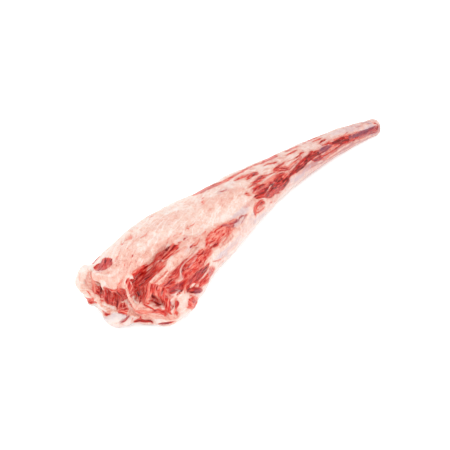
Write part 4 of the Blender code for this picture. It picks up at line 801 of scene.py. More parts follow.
# %% The cut butt
BUTT = [
    ("fat", 0.34, 1.0, ((-60, 36, 12), (-48, 40, 12), (-40, 54, 8))),
    ("fat", 0.60, 1.0, ((-40, 49, 5), (-24, 52.5, 4.6), (-8, 57, 6.4), (0, 54, 4))),
    ("fat", 0.10, 1.0, ((-44, 12, 9), (-20, 6, 9), (0, 6, 8), (20, 4, 8), (44, 8, 8), (60, 16, 5))),
    ("film", 0.26, 0.9, ((-38, 12, 7), (-20, 8, 9), (5, 8, 9), (20, 8, 8), (38, 8, 7))),
    ("fat", 0.20, 0.9, ((-56, 36, 6), (-52, 44, 6), (-50, 50, 4))),
    ("fat", 0.02, 0.9, ((-24, 52, 1.6), (-22, 49, 3.0), (-20, 53, 2.0))),
    # The red meat across the middle.
    ("meat", 0.42, 1.0, ((-35, 35, 4), (-28, 33, 4), (-20, 33, 8), (-12, 34, 9.6), (-4, 36.6, 11.6),
        (2, 41, 9.6), (6, 44.6, 4))),
    ("meat", 0.42, 1.0, ((-27, 38, 2.6), (-26, 33, 3.6), (-25, 28, 2.6))),
    ("meat", 0.44, 1.0, ((-20.6, 40, 2.4), (-20, 34, 3.8), (-19, 27, 2.8))),
    ("meat", 0.40, 1.0, ((-13.4, 44, 2.2), (-13, 36, 3.8), (-13, 27, 3.0))),
    ("meat", 0.46, 1.0, ((-4.6, 48, 3), (-5, 38, 4.6), (-6, 27, 3.6))),
    ("meat", 0.48, 1.0, ((2.6, 47, 3), (1.4, 38, 3), (-0.4, 28, 2.6))),
    ("meat", 0.08, 0.8, ((-36, 47, 2.4), (-31, 44, 3.6), (-27, 42, 2.2))),
    ("meat", 0.22, 0.8, ((-22, 43, 1.6), (-15, 43.6, 2.6), (-9, 45, 2.2))),
    ("meat", 0.02, 0.8, ((4, 31, 3), (9, 34, 5), (13, 33, 3.4))),
    ("meat", 0.40, 0.7, ((7, 33, 0.8), (10, 38, 1.2), (10.6, 42, 0.9))),
    ("tone", 0.30, 0.8, ((-26, 31, 1.4), (-23.6, 33, 1.8), (-22, 36, 1.2))),
    ("sinew", 0.30, 0.8, ((-24.8, 40, 0.4), (-23.2, 35.6, 0.7), (-22.8, 31.6, 0.4))),
    ("sinew", 0.24, 0.8, ((-15.8, 42, 0.4), (-16.4, 38, 0.6), (-15, 34.6, 0.4))),
    ("sinew", 0.20, 0.8, ((-6.4, 43, 0.4), (-7.2, 39, 0.6), (-6.6, 35.6, 0.4))),
    ("fat", 0.80, 0.8, ((-30, 30, 0.8), (-26, 28.4, 1.2), (-23.4, 29.4, 0.7))),
    ("fat", 0.80, 0.8, ((-3.0, 30.6, 0.8), (0.4, 32, 1.1), (3.4, 35, 0.8))),
    ("pit", 0.78, 0.9, ((-17.8, 38, 0.7), (-18.2, 34, 1.0), (-16.8, 31, 0.7))),
    ("tone", 0.22, 0.7, ((-18, 31, 0.7), (-15.4, 34, 0.9), (-14.6, 38, 0.7))),
    ("tone", 0.24, 0.7, ((-13.4, 42, 0.8), (-12, 37, 0.9), (-12, 33, 0.6))),
    ("tone", 0.56, 0.8, ((-20.6, 39, 0.9), (-19, 35, 1.1), (-17, 31, 0.9))),
    ("tone", 0.56, 0.8, ((-12, 40, 1.0), (-11, 34, 1.0), (-11, 29, 0.9))),
    ("tone", 0.52, 0.8, ((-6, 45, 1.2), (-4.6, 39, 1.8), (-3.4, 33, 1.8), (-4.4, 27, 1.4))),
    ("tone", 0.58, 0.85, ((1.6, 46, 2.0), (4.4, 43.6, 3.0), (6.6, 41, 1.8))),
    ("tone", 0.66, 0.8, ((-1, 50, 1.0), (2, 49, 1.4))),
    ("tone", 0.28, 0.7, ((-1.6, 44, 0.7), (-0.6, 38, 0.9), (0.4, 32, 0.8))),
    ("tone", 0.52, 0.8, ((-9, 26, 1.4), (-5, 25.4, 2.0), (-2.6, 26, 1.2))),
    ("tone", 0.62, 0.8, ((-31.4, 35.4, 0.9), (-30, 33.4, 1.5), (-28.4, 31, 0.9))),
    ("pit", 0.74, 1.0, ((-9.2, 42, 0.7), (-8.8, 37, 1.1), (-9, 30.6, 0.9))),
    ("tone", 0.66, 0.9, ((-21, 28, 0.8), (-19, 27.4, 1.4), (-16.4, 26.6, 1.6), (-13.6, 25.8, 1.0))),
    ("tone", 0.60, 0.9, ((-35.6, 33, 1.6), (-33, 30.6, 1.6))),
    ("film", 0.40, 0.6, ((-28, 39.6, 1.6), (-24, 36, 1.6))),
    ("sinew", 0.35, 0.7, ((1.0, 33.4, 0.9), (4.4, 31.2, 1.7), (7.4, 27.6, 1.2))),
    ("meat", 0.26, 1.0, ((-2.4, 22, 2), (3, 22.6, 3.4), (9, 25, 2.2))),
    ("tone", 0.40, 0.8, ((-2, 21, 1.0), (2, 21, 1.2))),
    ("meat", 0.12, 0.9, ((-36, 44, 1.6), (-38, 40, 2.4), (-37, 36, 2.4), (-35.6, 33, 1.6))),
    # Creases and stains of the far fat lobe.
    ("meat", 0.02, 0.8, ((-43, 54, 1.2), (-40.6, 50, 1.8), (-39, 45, 1.8), (-39, 40, 1.4))),
    ("meat", 0.04, 0.8, ((-44.6, 32, 0.8), (-42, 29.6, 1.4), (-40, 27.4, 1.1))),
    ("blush", 0.8, 0.7, ((-42, 38.6, 4), (-38, 30, 4), (-32, 26, 3))),
    ("meat", 0.06, 0.6, ((-46, 52, 0.6), (-44.6, 46, 1.0), (-45.6, 40, 0.8))),
    ("meat", 0.04, 0.5, ((-49, 30, 0.6), (-46, 26, 1.0), (-43, 24, 0.7))),
    ("blush", 0.62, 0.6, ((-52, 47, 2), (-48, 42, 3), (-48, 34, 2))),
    ("meat", 0.40, 0.9, ((-48, 16.4, 2.4), (-42, 17.6, 4.6), (-35.4, 22.6, 3.8))),
    ("tone", 0.50, 0.8, ((-42, 18, 1.6), (-37, 22, 2.2), (-34, 25, 1.4))),
    # Gristle, and the vertebra's end.
    ("fat", 0.12, 1.0, ((-31, 13, 3), (-20, 12, 4.4), (-8, 15, 4.4), (3, 15, 3.4))),
    ("film", 0.70, 0.85, ((-16, 13, 3.4), (-6, 16.6, 3.6), (2, 17.6, 2.8))),
    ("sinew", 0.6, 0.9, ((-31, 12.4, 1.0), (-20, 10.6, 1.8), (-8, 14.4, 2.2), (2.6, 15.6, 1.8))),
    ("meat", 0.34, 0.9, ((-23.6, 15.6, 0.8), (-18, 17, 1.3), (-12.6, 18.8, 0.8))),
    ("blush", 0.9, 0.8, ((-28, 25.4, 1.6), (-26, 21.6, 2), (-20, 20.6, 1.6), (-12, 21, 1.4))),
    # A purple-brown streak of painted shadow by the vertebra's end, laid as meat under film.
    ("meat", 0.34, 0.70, ((-0.4, 11.6, 1.0), (3, 14, 1.6), (6, 17, 1.4), (8.6, 20.6, 0.8))),
    ("film", 0.60, 0.7, ((0, 12, 1.4), (4, 15, 1.8), (8, 20, 1.4))),
    # The dark cleft between the cap's fold and the near lumps.
    ("meat", 0.70, 1.0, ((13, 61, 6), (17, 56, 6), (20, 52, 4))),
    ("meat", 0.42, 1.0, ((16, 50, 3), (17.4, 43, 3.6), (18, 39.6, 3.4))),
    ("pit", 0.70, 1.0, ((13.6, 52, 1.2), (14, 46, 1.9), (15.2, 41.6, 1.3))),
    ("meat", 0.34, 1.0, ((23, 57, 4), (24.6, 49, 5), (22.6, 41.6, 4.4), (28, 40, 2.4))),
    ("tone", 0.56, 0.9, ((18, 53, 1.6), (20.4, 46, 2.0), (19.6, 41, 2.0))),
    ("tone", 0.50, 0.8, ((24.6, 53, 1.0), (24, 47, 1.2), (23, 42, 1.0))),
    ("tone", 0.06, 0.8, ((29.4, 44.6, 1.2), (28.4, 49, 1.9), (27.6, 54, 1.4))),
    ("tone", 0.02, 0.9, ((24.6, 40.6, 0.8), (27, 42.6, 1.2), (28.6, 41, 0.8))),
    ("fat", 0.70, 1.0, ((4.0, 50.2, 0.7), (6.6, 47, 1.0), (9.0, 43, 1.2), (12.0, 38.8, 1.4),
        (18.4, 35.4, 1.5), (25, 33.2, 1.3), (32.4, 31.4, 1.0))),
    ("window", 0.40, 1.0, ((3.4, 58, 1.4), (6.4, 55, 2.4), (9, 51.6, 2.6), (11.2, 48, 2.2),
        (12.6, 44.6, 1.4))),
    ("tone", 0.52, 0.7, ((5, 57.6, 1.0), (9.8, 53.6, 1.0), (12, 49.4, 0.8))),
    ("meat", 0.04, 0.9, ((-1.6, 57, 0.9), (-2.4, 53.6, 1.5), (-4.2, 50, 0.9))),
    # The pocket on the near side, with the lumps above it.
    ("meat", 0.40, 1.0, ((30, 60, 3), (31, 54, 3.4), (31.6, 47, 2.6))),
    ("meat", 0.36, 1.0, ((36, 59, 3.4), (37, 53, 3.8), (37, 47, 3))),
    ("meat", 0.42, 1.0, ((42, 57, 3.4), (43, 51, 3.6), (44.4, 44, 3.2), (43.6, 38.4, 2.2))),
    ("tone", 0.56, 0.9, ((40, 58, 1.6), (41.4, 54.6, 1.8), (42, 51, 1.4))),
    ("tone", 0.14, 0.8, ((35, 57.6, 0.7), (37, 53, 1.0), (37.6, 49, 0.8))),
    ("tone", 0.12, 0.8, ((41, 49, 0.8), (43.6, 45, 1.1), (44, 41, 0.9))),
    ("meat", 0.30, 1.0, ((35.6, 49, 2), (36.4, 44.6, 2.6), (37.4, 40.6, 2))),
    ("tone", 0.10, 0.8, ((35.6, 47.6, 0.8), (36.4, 43.6, 0.9))),
    ("pit", 0.80, 1.0, ((32.4, 50.6, 0.9), (31.8, 44, 1.6), (33, 40.4, 1.5), (36.6, 38, 0.9))),
    ("pit", 0.74, 1.0, ((40.2, 48, 1.0), (40.4, 43, 1.8), (40.0, 38.6, 1.2))),
    ("meat", 0.12, 1.0, ((34.8, 52, 1.3), (35.6, 47, 1.7), (36.0, 42, 1.5), (36.8, 39.8, 0.8))),
    ("meat", 0.50, 0.9, ((37.4, 50, 0.9), (37.8, 45, 1.2), (38.0, 41, 0.9))),
    ("meat", 0.44, 1.0, ((24.6, 36.6, 1.6), (29, 36.2, 2.2), (34, 34.8, 1.8))),
    ("meat", 0.32, 1.0, ((29.6, 40.4, 0.7), (33, 38.2, 0.9), (37, 36.6, 0.9), (40, 36, 0.7))),
    # The block of meat on the near side, in its pale rim.
    ("fat", 0.84, 1.0, ((10, 24, 4), (20, 24, 4.6), (32, 24, 4), (45, 23.4, 3.2), (57, 24, 3))),
    ("meat", 0.08, 0.7, ((17, 31, 2), (24, 30, 2.4), (33, 29.4, 2))),
    ("meat", 0.18, 0.8, ((20.6, 29, 1.0), (20.4, 22, 1.4), (19.6, 18, 1.2))),
    ("blush", 0.85, 0.7, ((26, 27, 2), (27, 20, 2.6), (30, 18, 1.6))),
    ("meat", 0.54, 1.0, ((36, 31, 2.6), (40, 31.4, 4), (43.6, 30, 3.4), (46, 28, 1.6))),
    ("tone", 0.30, 0.8, ((38, 28.6, 1.2), (44, 28, 1.2))),
    ("meat", 0.22, 0.7, ((11.6, 21.4, 0.6), (14, 26, 0.8), (17, 31, 0.7), (23, 32, 0.5), (32, 31, 0.4))),
    ("meat", 0.42, 1.0, ((46.6, 43.6, 3), (48, 37.6, 3.6), (48, 31, 3.2), (50, 28.6, 2))),
    ("tone", 0.56, 0.8, ((47, 37, 1.4), (48, 31.6, 1.6))),
    ("meat", 0.52, 1.0, ((57, 44, 3.4), (57.4, 37.6, 4.6), (56.4, 31.6, 3.6), (56, 28, 2.2))),
    ("tone", 0.66, 0.8, ((54.6, 41, 1.6), (54, 37, 2.0), (55, 33, 1.4))),
    ("film", 0.34, 0.8, ((56, 43, 2.2), (57.6, 37, 2.2))),
    ("film", 0.45, 0.8, ((50.6, 44, 0.8), (51.4, 38, 1.0), (52, 32.6, 0.7))),
    ("sinew", 0.10, 0.5, ((50.8, 46, 0.5), (51.6, 41, 0.6), (52.4, 37, 0.4))),
    ("tone", 0.70, 0.9, ((52, 41, 1.0), (52.6, 37, 1.6), (52, 34, 1.0))),
    ("meat", 0.30, 1.0, ((52, 50, 2.6), (48.6, 46.6, 2.6), (46.6, 48, 2.2))),
    ("film", 0.20, 0.8, ((51, 49, 2.4), (47, 47, 2.4))),
    ("sinew", 0.10, 0.8, ((32, 38.6, 0.3), (37, 35.8, 0.5), (41, 35.6, 0.7), (44, 33.8, 0.4))),
    # Hollows under the rim, painted dark as the shade in them.
    ("pit", 0.76, 1.0, ((14.2, 13.2, 1.4), (18.6, 15.6, 2.2), (24.4, 15.4, 2.2), (30, 15.6, 2.0),
        (31.6, 13.6, 1.2))),
    ("tone", 0.80, 0.8, ((16, 14.6, 0.8), (21, 16.6, 1.0), (26, 16.8, 0.9), (31, 16.4, 0.9))),
    ("pit", 0.56, 1.0, ((38.0, 12, 1.2), (43, 14.6, 2.0), (48.6, 16.4, 2.0), (54, 17.8, 1.2))),
    ("film", 0.45, 0.8, ((40, 13, 2), (48, 15.6, 2))),
    ("meat", 0.10, 0.5, ((9, 8, 1.0), (10, 14, 1.4), (12.6, 20, 1.4))),
]
print(len(BUTT), "rows")

# %% [markdown]
# ## Laying the maps
#
# The fat first: cream on the cap and pinker towards the tip and down the flanks, in soft clouds. Then the
# rows, with the near side's repeated on the far flank, which is built the same. A stroke of the body
# stops at the butt's edge and one of the butt stays on its face.

# %% Laying them
BUTT_TURN = BEND / 3 + SKEW   # which way the butt's cut looks
BUTT_WAY = -np.array((math.cos(BUTT_TURN), math.sin(BUTT_TURN), 0))
FAR_SHIFT = (0.012, 12)       # the far flank's bundles lie this much further on and further down
LOW_ON_FLANK = 54             # degrees from the back
BARE_BLUSH = 0.30             # how pink bare fat is, before clouds and regions
BODY_PLANE = np.stack([SHARE * LENGTH / MM, ANGLE * DEGREE], 1)
ON_BUTT = smooth(0.007, -0.003, SHARE) * smooth(0.05, 0.35, NORMALS @ BUTT_WAY)
OFF_BUTT = smooth(-0.030, -0.018, SHARE) * (1 - ON_BUTT)


def body_place(share, angle, half):
    """A place of the body's map in millimetres, from share, angle and half width in degrees."""
    half_width = section(share, 1)
    degree = math.radians(1) * math.hypot(half_width, half_width * section(share, 2)) / math.sqrt(2) / MM
    return share * LENGTH / MM, angle * degree, half * degree


def butt_place(across, up, half):
    return across, up, half


def mirrored(rows):
    """The rows that lie low on the near flank, carried over to the far flank."""
    along, round_by = FAR_SHIFT
    found = []
    for kind, value, strength, places in rows:
        if min(place[1] for place in places) > LOW_ON_FLANK:
            moved = [(share + along, -angle - round_by, half) for share, angle, half in places]
            found.append((kind, value, strength, moved))
    return found


# Regions of bare fat, and how much pinker or bluer each is than the cap.
clouds = 0.7 * noise(SPOTS, 16 * MM, 1) + 0.4 * noise(SPOTS, 6 * MM, 2) + 0.15 * noise(SPOTS, 2.4 * MM, 3)
towards_tip = smooth(0.25, 0.85, SHARE)
down = smooth(60, 125, np.abs(ANGLE))
near_low = smooth(60, 85, ANGLE)
pale = (smooth(-20, -50, ANGLE) - 0.4 * near_low) * (1 - towards_tip)
belly = smooth(86, 112, np.abs(ANGLE)) * smooth(0.72, 0.60, SHARE)
TISSUE["blush"] += BARE_BLUSH + 0.13 * clouds + 0.13 * towards_tip + 0.22 * down * towards_tip
TISSUE["blush"] -= 0.16 * pale + 0.26 * belly
TISSUE["blue"] += 0.12 * near_low + 0.24 * towards_tip
body = NEAR_BUTT + NEAR_FLANK + MIDDLE + TIP_END + FAR_BACK + BELLY
far = mirrored(NEAR_FLANK + MIDDLE + TIP_END + BELLY)
paint(body, BODY_PLANE, body_place, OFF_BUTT, 1)
paint(far, BODY_PLANE, body_place, OFF_BUTT, 400)
paint(BUTT, FACE[:, :2], butt_place, ON_BUTT, 700)

# %% [markdown]
# ## The tip's cut
#
# At the thin end the cut goes through the last bone: a pale disc with red marrow in a ring of meat. It is
# too small a face for a map of its own, so three discs are laid one on another there, by the distance from
# its middle. Noise on that distance keeps them from looking drawn with a compass.

# %% The tip's cut
TIP_TURN = -2 * BEND / 3      # which way the tip's cut looks
TIP_WAY = np.array((math.cos(TIP_TURN), math.sin(TIP_TURN), 0))
AT_CUT, NEAR_CUT = 0.975, 0.9   # shares
TIP_DISCS = (   # radius and half its soft edge in mm, and what it is
    (8.2, 0.5, {"flesh": 1, "tone": 0.48, "blue": 0.1, "white": 0, "raised": -0.3}),
    (5.2, 0.5, {"flesh": 0, "blush": 0.42, "blue": 0.30, "raised": 0.3}),
    (2.0, 1.4, {"blush": 0.95}),
)
everywhere = np.arange(len(SPOTS))
from_middle = SPOTS - SPOTS[SHARE > AT_CUT].mean(0)
off_centre = np.linalg.norm(from_middle - np.outer(from_middle @ TIP_WAY, TIP_WAY), axis=1) / MM
off_centre += 0.9 * noise(SPOTS, 3.4 * MM, 90) + 0.5 * noise(SPOTS, 1.2 * MM, 91)
on_tip = smooth(0.50, 0.80, NORMALS @ TIP_WAY) * (SHARE > NEAR_CUT)
for radius, edge, values in TIP_DISCS:
    lay(everywhere, on_tip * smooth(radius + edge, radius - edge, off_centre), values)
print("the tip's cut has", int((on_tip > 0.5).sum()), "points")

# %% [markdown]
# ## Painted shade in the clefts, painted highlight on the ridges, wavy fibres
#
# Now the clefts measured at the start are reddened, as painted shade tinted by light bounced between the
# meat, and the ridges paled, as painted highlight. No two fibres of real meat run quite straight either, so
# the grain is bent a little in two sizes.

# %% Clefts and waves
# Painted shade: the clefts are reddened, as by light bounced between the meat; painted highlight: the ridges
# are paled.
PAINTED_SHADE_IN_CLEFTS, PAINTED_HIGHLIGHT_ON_RIDGES = 0.42, -0.10   # blush
TISSUE["blush"] += PAINTED_SHADE_IN_CLEFTS * smooth(0.15, 1.3, CLEFT) + PAINTED_HIGHLIGHT_ON_RIDGES * smooth(0.1, 0.9, -CLEFT)
GRAIN[:, 1] += (0.8 * noise(SPOTS, 10 * MM, 60) + 0.4 * noise(SPOTS, 4 * MM, 61)) * MM
print("blush from", TISSUE["blush"].min().round(2), "to", TISSUE["blush"].max().round(2))

# %% [markdown]
# ## Relief
#
# Meat lies a little lower than the fat that was pulled off it, sinews stand up as threads and each bundle is
# ribbed by its own fibres. The fat is lumpy in two sizes. All of it moves points along the skin's own
# normals, by a millimetre or two at most, so that the outline stays that of the solid. Only the double
# bundle's cleft, which is deep in the solid, is filled up where the bundle ends, nearly to a plane.

# %% Moving the points
FIBRE_RELIEF = 0.28               # mm, like the other heights
LOBE_RELIEF = 0.34
FIBRE = (7 * MM, 0.9 * MM, MM)    # size of the ribs along and across
FINE_FIBRE = (4 * MM, 0.5 * MM, MM)
FILL_SHARES = (0.104, 0.134, 0.156, 0.172)   # where the filling starts, is full, fades and ends
FILL_ANGLES = (6, 8, 22, 24)                 # the same round the tail, in degrees
FILL_TOP, FILL_FALL = 68.6, 0.1   # its height at the first of these, and its fall for each degree
FILLING = 0.92                    # how much of the way up to that plane
CLEARANCE = 0.05                  # of the belly over the floor


def within(value, start, full, fading, end):
    """1 from full to fading, and an even ease down to 0 at start and end."""
    return smooth(start, full, value) * smooth(end, fading, value)


fibres = noise(GRAIN, FIBRE, 5) + 0.5 * noise(GRAIN, FINE_FIBRE, 6)
lobes = noise(SPOTS, 6 * MM, 8) + 0.6 * noise(SPOTS, 2.6 * MM, 9)
flesh = TISSUE["flesh"]
height = TISSUE["raised"] + FIBRE_RELIEF * fibres * flesh + LOBE_RELIEF * lobes * (1 - flesh)
moved = SPOTS + NORMALS * (height * MM)[:, None]
filled = within(SHARE, *FILL_SHARES) * within(ANGLE, *FILL_ANGLES)
level = (FILL_TOP - FILL_FALL * (ANGLE - FILL_ANGLES[0])) * MM
moved[:, 2] += FILLING * filled * np.clip(level - moved[:, 2], 0, None)
moved[:, 2] = np.maximum(moved[:, 2], LOW.z + CLEARANCE * MM)
skin.data.vertices.foreach_set("co", moved.astype(np.float32).ravel())
for name in ("flesh", "tone", "blue", "blush", "white"):
    painted = skin.data.attributes.new(name, "FLOAT", "POINT")
    painted.data.foreach_set("value", TISSUE[name].astype(np.float32))
grain = skin.data.attributes.new("grain", "FLOAT_VECTOR", "POINT")
grain.data.foreach_set("vector", GRAIN.astype(np.float32).ravel())
skin.data.shade_smooth()
skin.data.update()
print("height from", height.min().round(2), "to", height.max().round(2), "mm")

# %% [markdown]
# ## The finish of raw tissue
#
# Meat goes from salmon through red to nearly black as less light comes back from it, and its fibres carry
# thin pale seams. Membrane over meat looks purple and over fat lavender, because milky film scatters blue.
# Wet tissue has a clear gloss over a soft body that light enters. First come the colours as they should
# look in this light, turned into what the tissue itself reflects.

# %% Colours
LIGHT = 2.10     # the lamps give a white sheet this many times what shows as white
HAZE = 0.016     # what the gloss adds to any colour
DARKEST = 0.003
PALETTE = {      # as it looks under those lamps
    "fat": ((0.00, "FEF1EA"), (0.30, "FCDDD0"), (0.60, "F6C2B2"), (0.85, "EFA996"), (1.00, "D2877B")),
    "meat": ((0.00, "F9A28F"), (0.15, "F58676"), (0.30, "EC6154"), (0.45, "E0463D"), (0.60, "CC3630"),
             (0.75, "B22A26"), (0.88, "941D1B"), (1.00, "780F0E")),
}
FILM_ON_FAT = "CDBFCB"
FILM_ON_MEAT = "8C5464"
SINEW = "FEF6EF"
SEAM = "FBC8BA"


def linear(code):
    """What the tissue itself reflects, from the six hex digits of how it looks in this light."""
    parts = [int(code[i : i + 2], 16) / 255 for i in (0, 2, 4)]
    seen = [part / 12.92 if part <= 0.04045 else ((part + 0.055) / 1.055) ** 2.4 for part in parts]
    return (*[max(part - HAZE, DARKEST) / LIGHT for part in seen], 1)


print("reflected by the palest fat:", [round(part, 3) for part in linear(PALETTE["fat"][0][1])[:3]])

# %% [markdown]
# ## Putting nodes together
#
# A finish is a web of small sums and noises. Written out node by node it can't be read, so a helper adds
# each with its wires in one line. It also knows the few things needed again and again: an even rise
# from one value to another, thin ridges, and a weighted sum.

# %% A helper for nodes
class Wires:
    """Puts nodes into a tree: add(type, settings, inputs) returns the node, with inputs wired or set."""

    def __init__(self, tree):
        self.tree = tree

    def add(self, kind, settings=None, **inputs):
        node = self.tree.nodes.new("ShaderNode" + kind)
        for name, value in (settings or {}).items():
            setattr(node, name, value)
        for name, value in inputs.items():
            key = int(name[1:]) if name[0] == "i" and name[1:].isdigit() else name.replace("_", " ")
            socket = node.inputs[key]
            if isinstance(value, bpy.types.NodeSocket):
                self.tree.links.new(value, socket)
            else:
                socket.default_value = value
        return node

    def math(self, operation, a, b=0.0):
        return self.add("Math", {"operation": operation}, i0=a, i1=b).outputs[0]

    def total(self, start, *terms):
        """start, with every (value, weight) of the terms added."""
        for value, weight in terms:
            settings = {"operation": "MULTIPLY_ADD"}
            start = self.add("Math", settings, i0=value, i1=weight, i2=start).outputs[0]
        return start

    def rise(self, value, low, high):
        """0 at low, 1 at high, and an even ease between."""
        settings = {"interpolation_type": "SMOOTHSTEP"}
        return self.add("MapRange", settings, Value=value, From_Min=low, From_Max=high).outputs[0]

    def ridges(self, value, width):
        """1 along the thin lines where a noise crosses nothing, 0 off them."""
        return self.rise(self.math("ABSOLUTE", value), width, 0.0)

    def stretched(self, vector, along):
        """Places with the run of the fibres shortened, so that a noise on them is drawn out along it."""
        return self.add("Mapping", None, Vector=vector, Scale=(along, 1.0, 1.0)).outputs[0]

    def mix(self, factor, a, b):
        node = self.add("Mix", {"data_type": "RGBA", "clamp_factor": True})
        for socket, value in ((0, factor), (6, a), (7, b)):
            if isinstance(value, bpy.types.NodeSocket):
                self.tree.links.new(value, node.inputs[socket])
            else:
                node.inputs[socket].default_value = value
        return node.outputs[2]

    def ramp(self, stops, factor):
        node = self.add("ValToRGB", None, Fac=factor)
        points = node.color_ramp.elements
        points[0].position, points[1].position = stops[0][0], stops[-1][0]
        points[0].color, points[1].color = linear(stops[0][1]), linear(stops[-1][1])
        for place, code in stops[1:-1]:
            points.new(place).color = linear(code)
        return node.outputs[0]

    def noise(self, vector, scale, detail):
        node = self.add("TexNoise", {"normalize": False}, Vector=vector, Scale=scale, Detail=detail)
        return node.outputs[0]


def group(name, inputs, outputs):
    """A new node group with these (name, type) sockets, and its Wires, input node and output node."""
    tree = bpy.data.node_groups.new(name, "ShaderNodeTree")
    for sockets, side in ((inputs, "INPUT"), (outputs, "OUTPUT")):
        for label, kind in sockets:
            tree.interface.new_socket(name=label, in_out=side, socket_type="NodeSocket" + kind)
    return tree, Wires(tree), tree.nodes.new("NodeGroupInput"), tree.nodes.new("NodeGroupOutput")


print("ways to add nodes:", *[name for name in vars(Wires) if not name.startswith("_")])

# %% [markdown]
# ## The tissue's node group
#
# Meat is its tone with three sizes of strand in it and pale seams between the strands; fat is its blush
# with mottle, specks, veins, and pale streaks along its wrinkles that are painted highlight. Film whitens
# both, and the painted edge between the two is frayed once more at a finer size than the skin's points can
# hold.
# All of it is one group, which any other piece can share, and which puts out a colour, a roughness and a
# height.

# %% The node group
BUMPS = {   # how many noise bumps to the metre, and in how many finer sizes again
    "fine": (1100.0, 2.0), "middle": (620.0, 2.0), "broad": (300.0, 3.0), "threads": (150.0, 4.0),
    "mottle": (160.0, 4.0), "speck": (700.0, 3.0), "veins": (140.0, 4.0),
}
LONG, LONGER = 0.20, 0.07         # strands: their width for one of length
MEAT_FROM, MEAT_TO = 0.32, 0.68   # the painted edge of the meat is sharpened to this
SEAM_WIDTH, VEIN_WIDTH, WRINKLE_HIGHLIGHT_WIDTH = 0.18, 0.09, 0.08
FAT_FILM, MEAT_FILM = 0.9, 1.3    # how much of the film's colour shows on each
tissue_group, w, given, out = group(
    "raw_tissue",
    [("Flesh", "Float"), ("Tone", "Float"), ("Blue", "Float"), ("Blush", "Float"), ("White", "Float"),
     ("Grain", "Vector"), ("Place", "Vector")],
    [("Color", "Color"), ("Roughness", "Float"), ("Height", "Float")],
)
g = given.outputs
longer = w.stretched(g["Grain"], LONGER)
long = w.stretched(g["Grain"], LONG)
fine = w.noise(longer, *BUMPS["fine"])
middle = w.noise(long, *BUMPS["middle"])
broad = w.noise(long, *BUMPS["broad"])
mottle = w.noise(g["Place"], *BUMPS["mottle"])
speck = w.noise(g["Place"], *BUMPS["speck"])
veins = w.ridges(w.noise(g["Place"], *BUMPS["veins"]), VEIN_WIDTH)
# Pale streaks along the fat's wrinkles: a painted highlight on them.
threads = w.ridges(w.noise(longer, *BUMPS["threads"]), WRINKLE_HIGHLIGHT_WIDTH)

is_meat = w.rise(w.total(g["Flesh"], (middle, 0.28)), MEAT_FROM, MEAT_TO)
meat = w.ramp(PALETTE["meat"], w.total(g["Tone"], (fine, 0.30), (middle, 0.50), (broad, 0.40)))
seams = w.math("MULTIPLY", w.ridges(middle, SEAM_WIDTH), w.rise(broad, -0.1, 0.3))
light_meat = w.total(0.8, (g["Tone"], -0.8))
meat = w.mix(w.math("MULTIPLY", seams, light_meat), meat, linear(SEAM))
# The pale wrinkle streaks lower the blush here as a painted highlight.
warm = w.total(g["Blush"], (mottle, 0.15), (speck, 0.14), (veins, 0.30), (threads, -0.30),
               (broad, 0.08), (middle, 0.10))
fat = w.ramp(PALETTE["fat"], warm)

milky = w.math("MULTIPLY", g["Blue"], w.total(0.85, (mottle, 0.5)))
fat = w.mix(w.math("MULTIPLY", milky, FAT_FILM), fat, linear(FILM_ON_FAT))
meat = w.mix(w.math("MULTIPLY", milky, MEAT_FILM), meat, linear(FILM_ON_MEAT))
tissue = w.mix(g["White"], w.mix(is_meat, fat, meat), linear(SINEW))
ribs = w.math("MULTIPLY", is_meat, w.total(broad, (fine, 0.6)))
grit = w.math("MULTIPLY", w.math("SUBTRACT", 1.0, is_meat), w.total(mottle, (speck, 0.35)))
w.tree.links.new(tissue, out.inputs["Color"])
w.tree.links.new(w.total(0.40, (speck, 0.12), (is_meat, -0.08)), out.inputs["Roughness"])
w.tree.links.new(w.math("ADD", ribs, grit), out.inputs["Height"])
print(tissue_group.name, "has", len(tissue_group.nodes), "nodes")

# %% [markdown]
# ## The skin's material
#
# It reads the painted numbers by name and hands them to the group. Only what changes over the surface is
# wired; the gloss coat and the softness are plain settings.

# %% The skin's material
PAINTED = ("Flesh", "Tone", "Blue", "Blush", "White", "Grain")
BUMP_STRENGTH, BUMP_HEIGHT = 0.35, 0.5 * MM
WET_AND_SOFT = {"Subsurface Weight": 0.20, "Subsurface Scale": 3 * MM, "Subsurface Radius": (1.0, 0.35, 0.2),
                "Coat Weight": 0.11, "Coat Roughness": 0.10, "IOR": 1.4, "Specular IOR Level": 0.09}


def new_material(name):
    material = bpy.data.materials.new(name)
    material.use_nodes = True
    material.node_tree.nodes.clear()
    return material, Wires(material.node_tree)


def raw_meat(name):
    """Raw tissue, by the numbers painted on the mesh."""
    material, w = new_material(name)
    place = w.add("TexCoord").outputs["Object"]
    made = w.add("Group", {"node_tree": tissue_group}, Place=place)
    for label in PAINTED:
        read = w.add("Attribute", {"attribute_name": label.lower()})
        w.tree.links.new(read.outputs["Vector" if label == "Grain" else "Fac"], made.inputs[label])
    bump = w.add("Bump", None, Height=made.outputs["Height"], Strength=BUMP_STRENGTH,
                 Distance=BUMP_HEIGHT)
    shader = w.add("BsdfPrincipled", None, Base_Color=made.outputs["Color"],
                   Roughness=made.outputs["Roughness"], Normal=bump.outputs[0])
    for label, value in WET_AND_SOFT.items():
        shader.inputs[label].default_value = value
    w.add("OutputMaterial", None, Surface=shader.outputs[0])
    return material


skin.data.materials.clear()
skin.data.materials.append(raw_meat("raw_tissue_skin"))
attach(skin, "root")
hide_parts("oxtail")
print(skin.name, "wears", skin.data.materials[0].name)

# %% [markdown]
# ## Floor, light and camera
#
# A white sweep without a horizon, a bright even sky and a large lamp overhead give the shadow under the tail
# its soft edge. Four lower lamps light the flanks and the butt, and the paper glows faintly itself, so that
# it stays pure white. The camera stands high on the butt's side, so that the tail runs away from it.

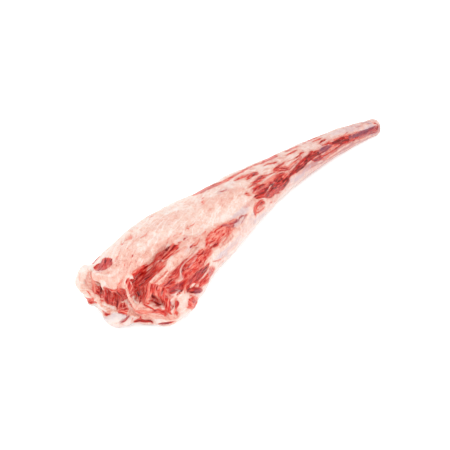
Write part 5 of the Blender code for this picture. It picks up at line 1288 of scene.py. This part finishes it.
# %% The set
PAPER_SIZE = 12         # m
WHITE = 0.93
GLOW = 0.18             # of the paper
SKY = 1.30
AIM = Vector((-0.0625, 0.0021, 0.024))
EYE = (-0.88877, -0.64344, 0.75822)
LENS, SENSOR = 89.84, 36   # mm
LAMPS = {   # place, size in metres and watts
    "overhead": ((-0.2, 0.5, 1.6), 1.2, 19),
    "from_the_left": ((-1.5, 0.6, 1.0), 0.8, 5),
    "low_front": ((-0.7, -1.3, 0.45), 1.0, 11.5),
    "low_right": ((0.8, -1.2, 0.40), 1.0, 7),
    "low_left": ((-1.6, -0.3, 0.30), 0.8, 5),
}


def stood(name, what, place):
    """A lamp or camera put in its place and turned to AIM."""
    holder = bpy.data.objects.new(name, what)
    holder.location = place
    holder.rotation_euler = (AIM - holder.location).to_track_quat("-Z", "Y").to_euler()
    bpy.context.scene.collection.objects.link(holder)
    return holder


bpy.ops.mesh.primitive_plane_add(size=PAPER_SIZE, location=(0, 0, LOW.z))
floor = bpy.context.object
floor.name = "floor"
material, w = new_material("white_paper")
paper = w.add("BsdfPrincipled", None, Base_Color=(WHITE, WHITE, WHITE, 1), Roughness=0.9,
              Emission_Color=(1, 1, 1, 1), Emission_Strength=GLOW)
w.add("OutputMaterial", None, Surface=paper.outputs[0])
floor.data.materials.append(material)

world = bpy.data.worlds.new("white_room")
bpy.context.scene.world = world
world.use_nodes = True
world.node_tree.nodes["Background"].inputs[0].default_value = (1, 1, 1, 1)
world.node_tree.nodes["Background"].inputs[1].default_value = SKY
for name, (place, size, power) in LAMPS.items():
    lamp = bpy.data.lights.new(name, "AREA")
    lamp.size = size
    lamp.energy = power
    stood(name, lamp, place)

camera = bpy.data.cameras.new("camera")
camera.lens = LENS
camera.sensor_width = SENSOR
bpy.context.scene.camera = stood("camera", camera, EYE)
bpy.context.scene.view_settings.view_transform = "Standard"
print(len(LAMPS), "lamps; camera at", EYE)

# %% [markdown]
# ## Size, and the end
#
# The dressed tail should keep the solid's size.
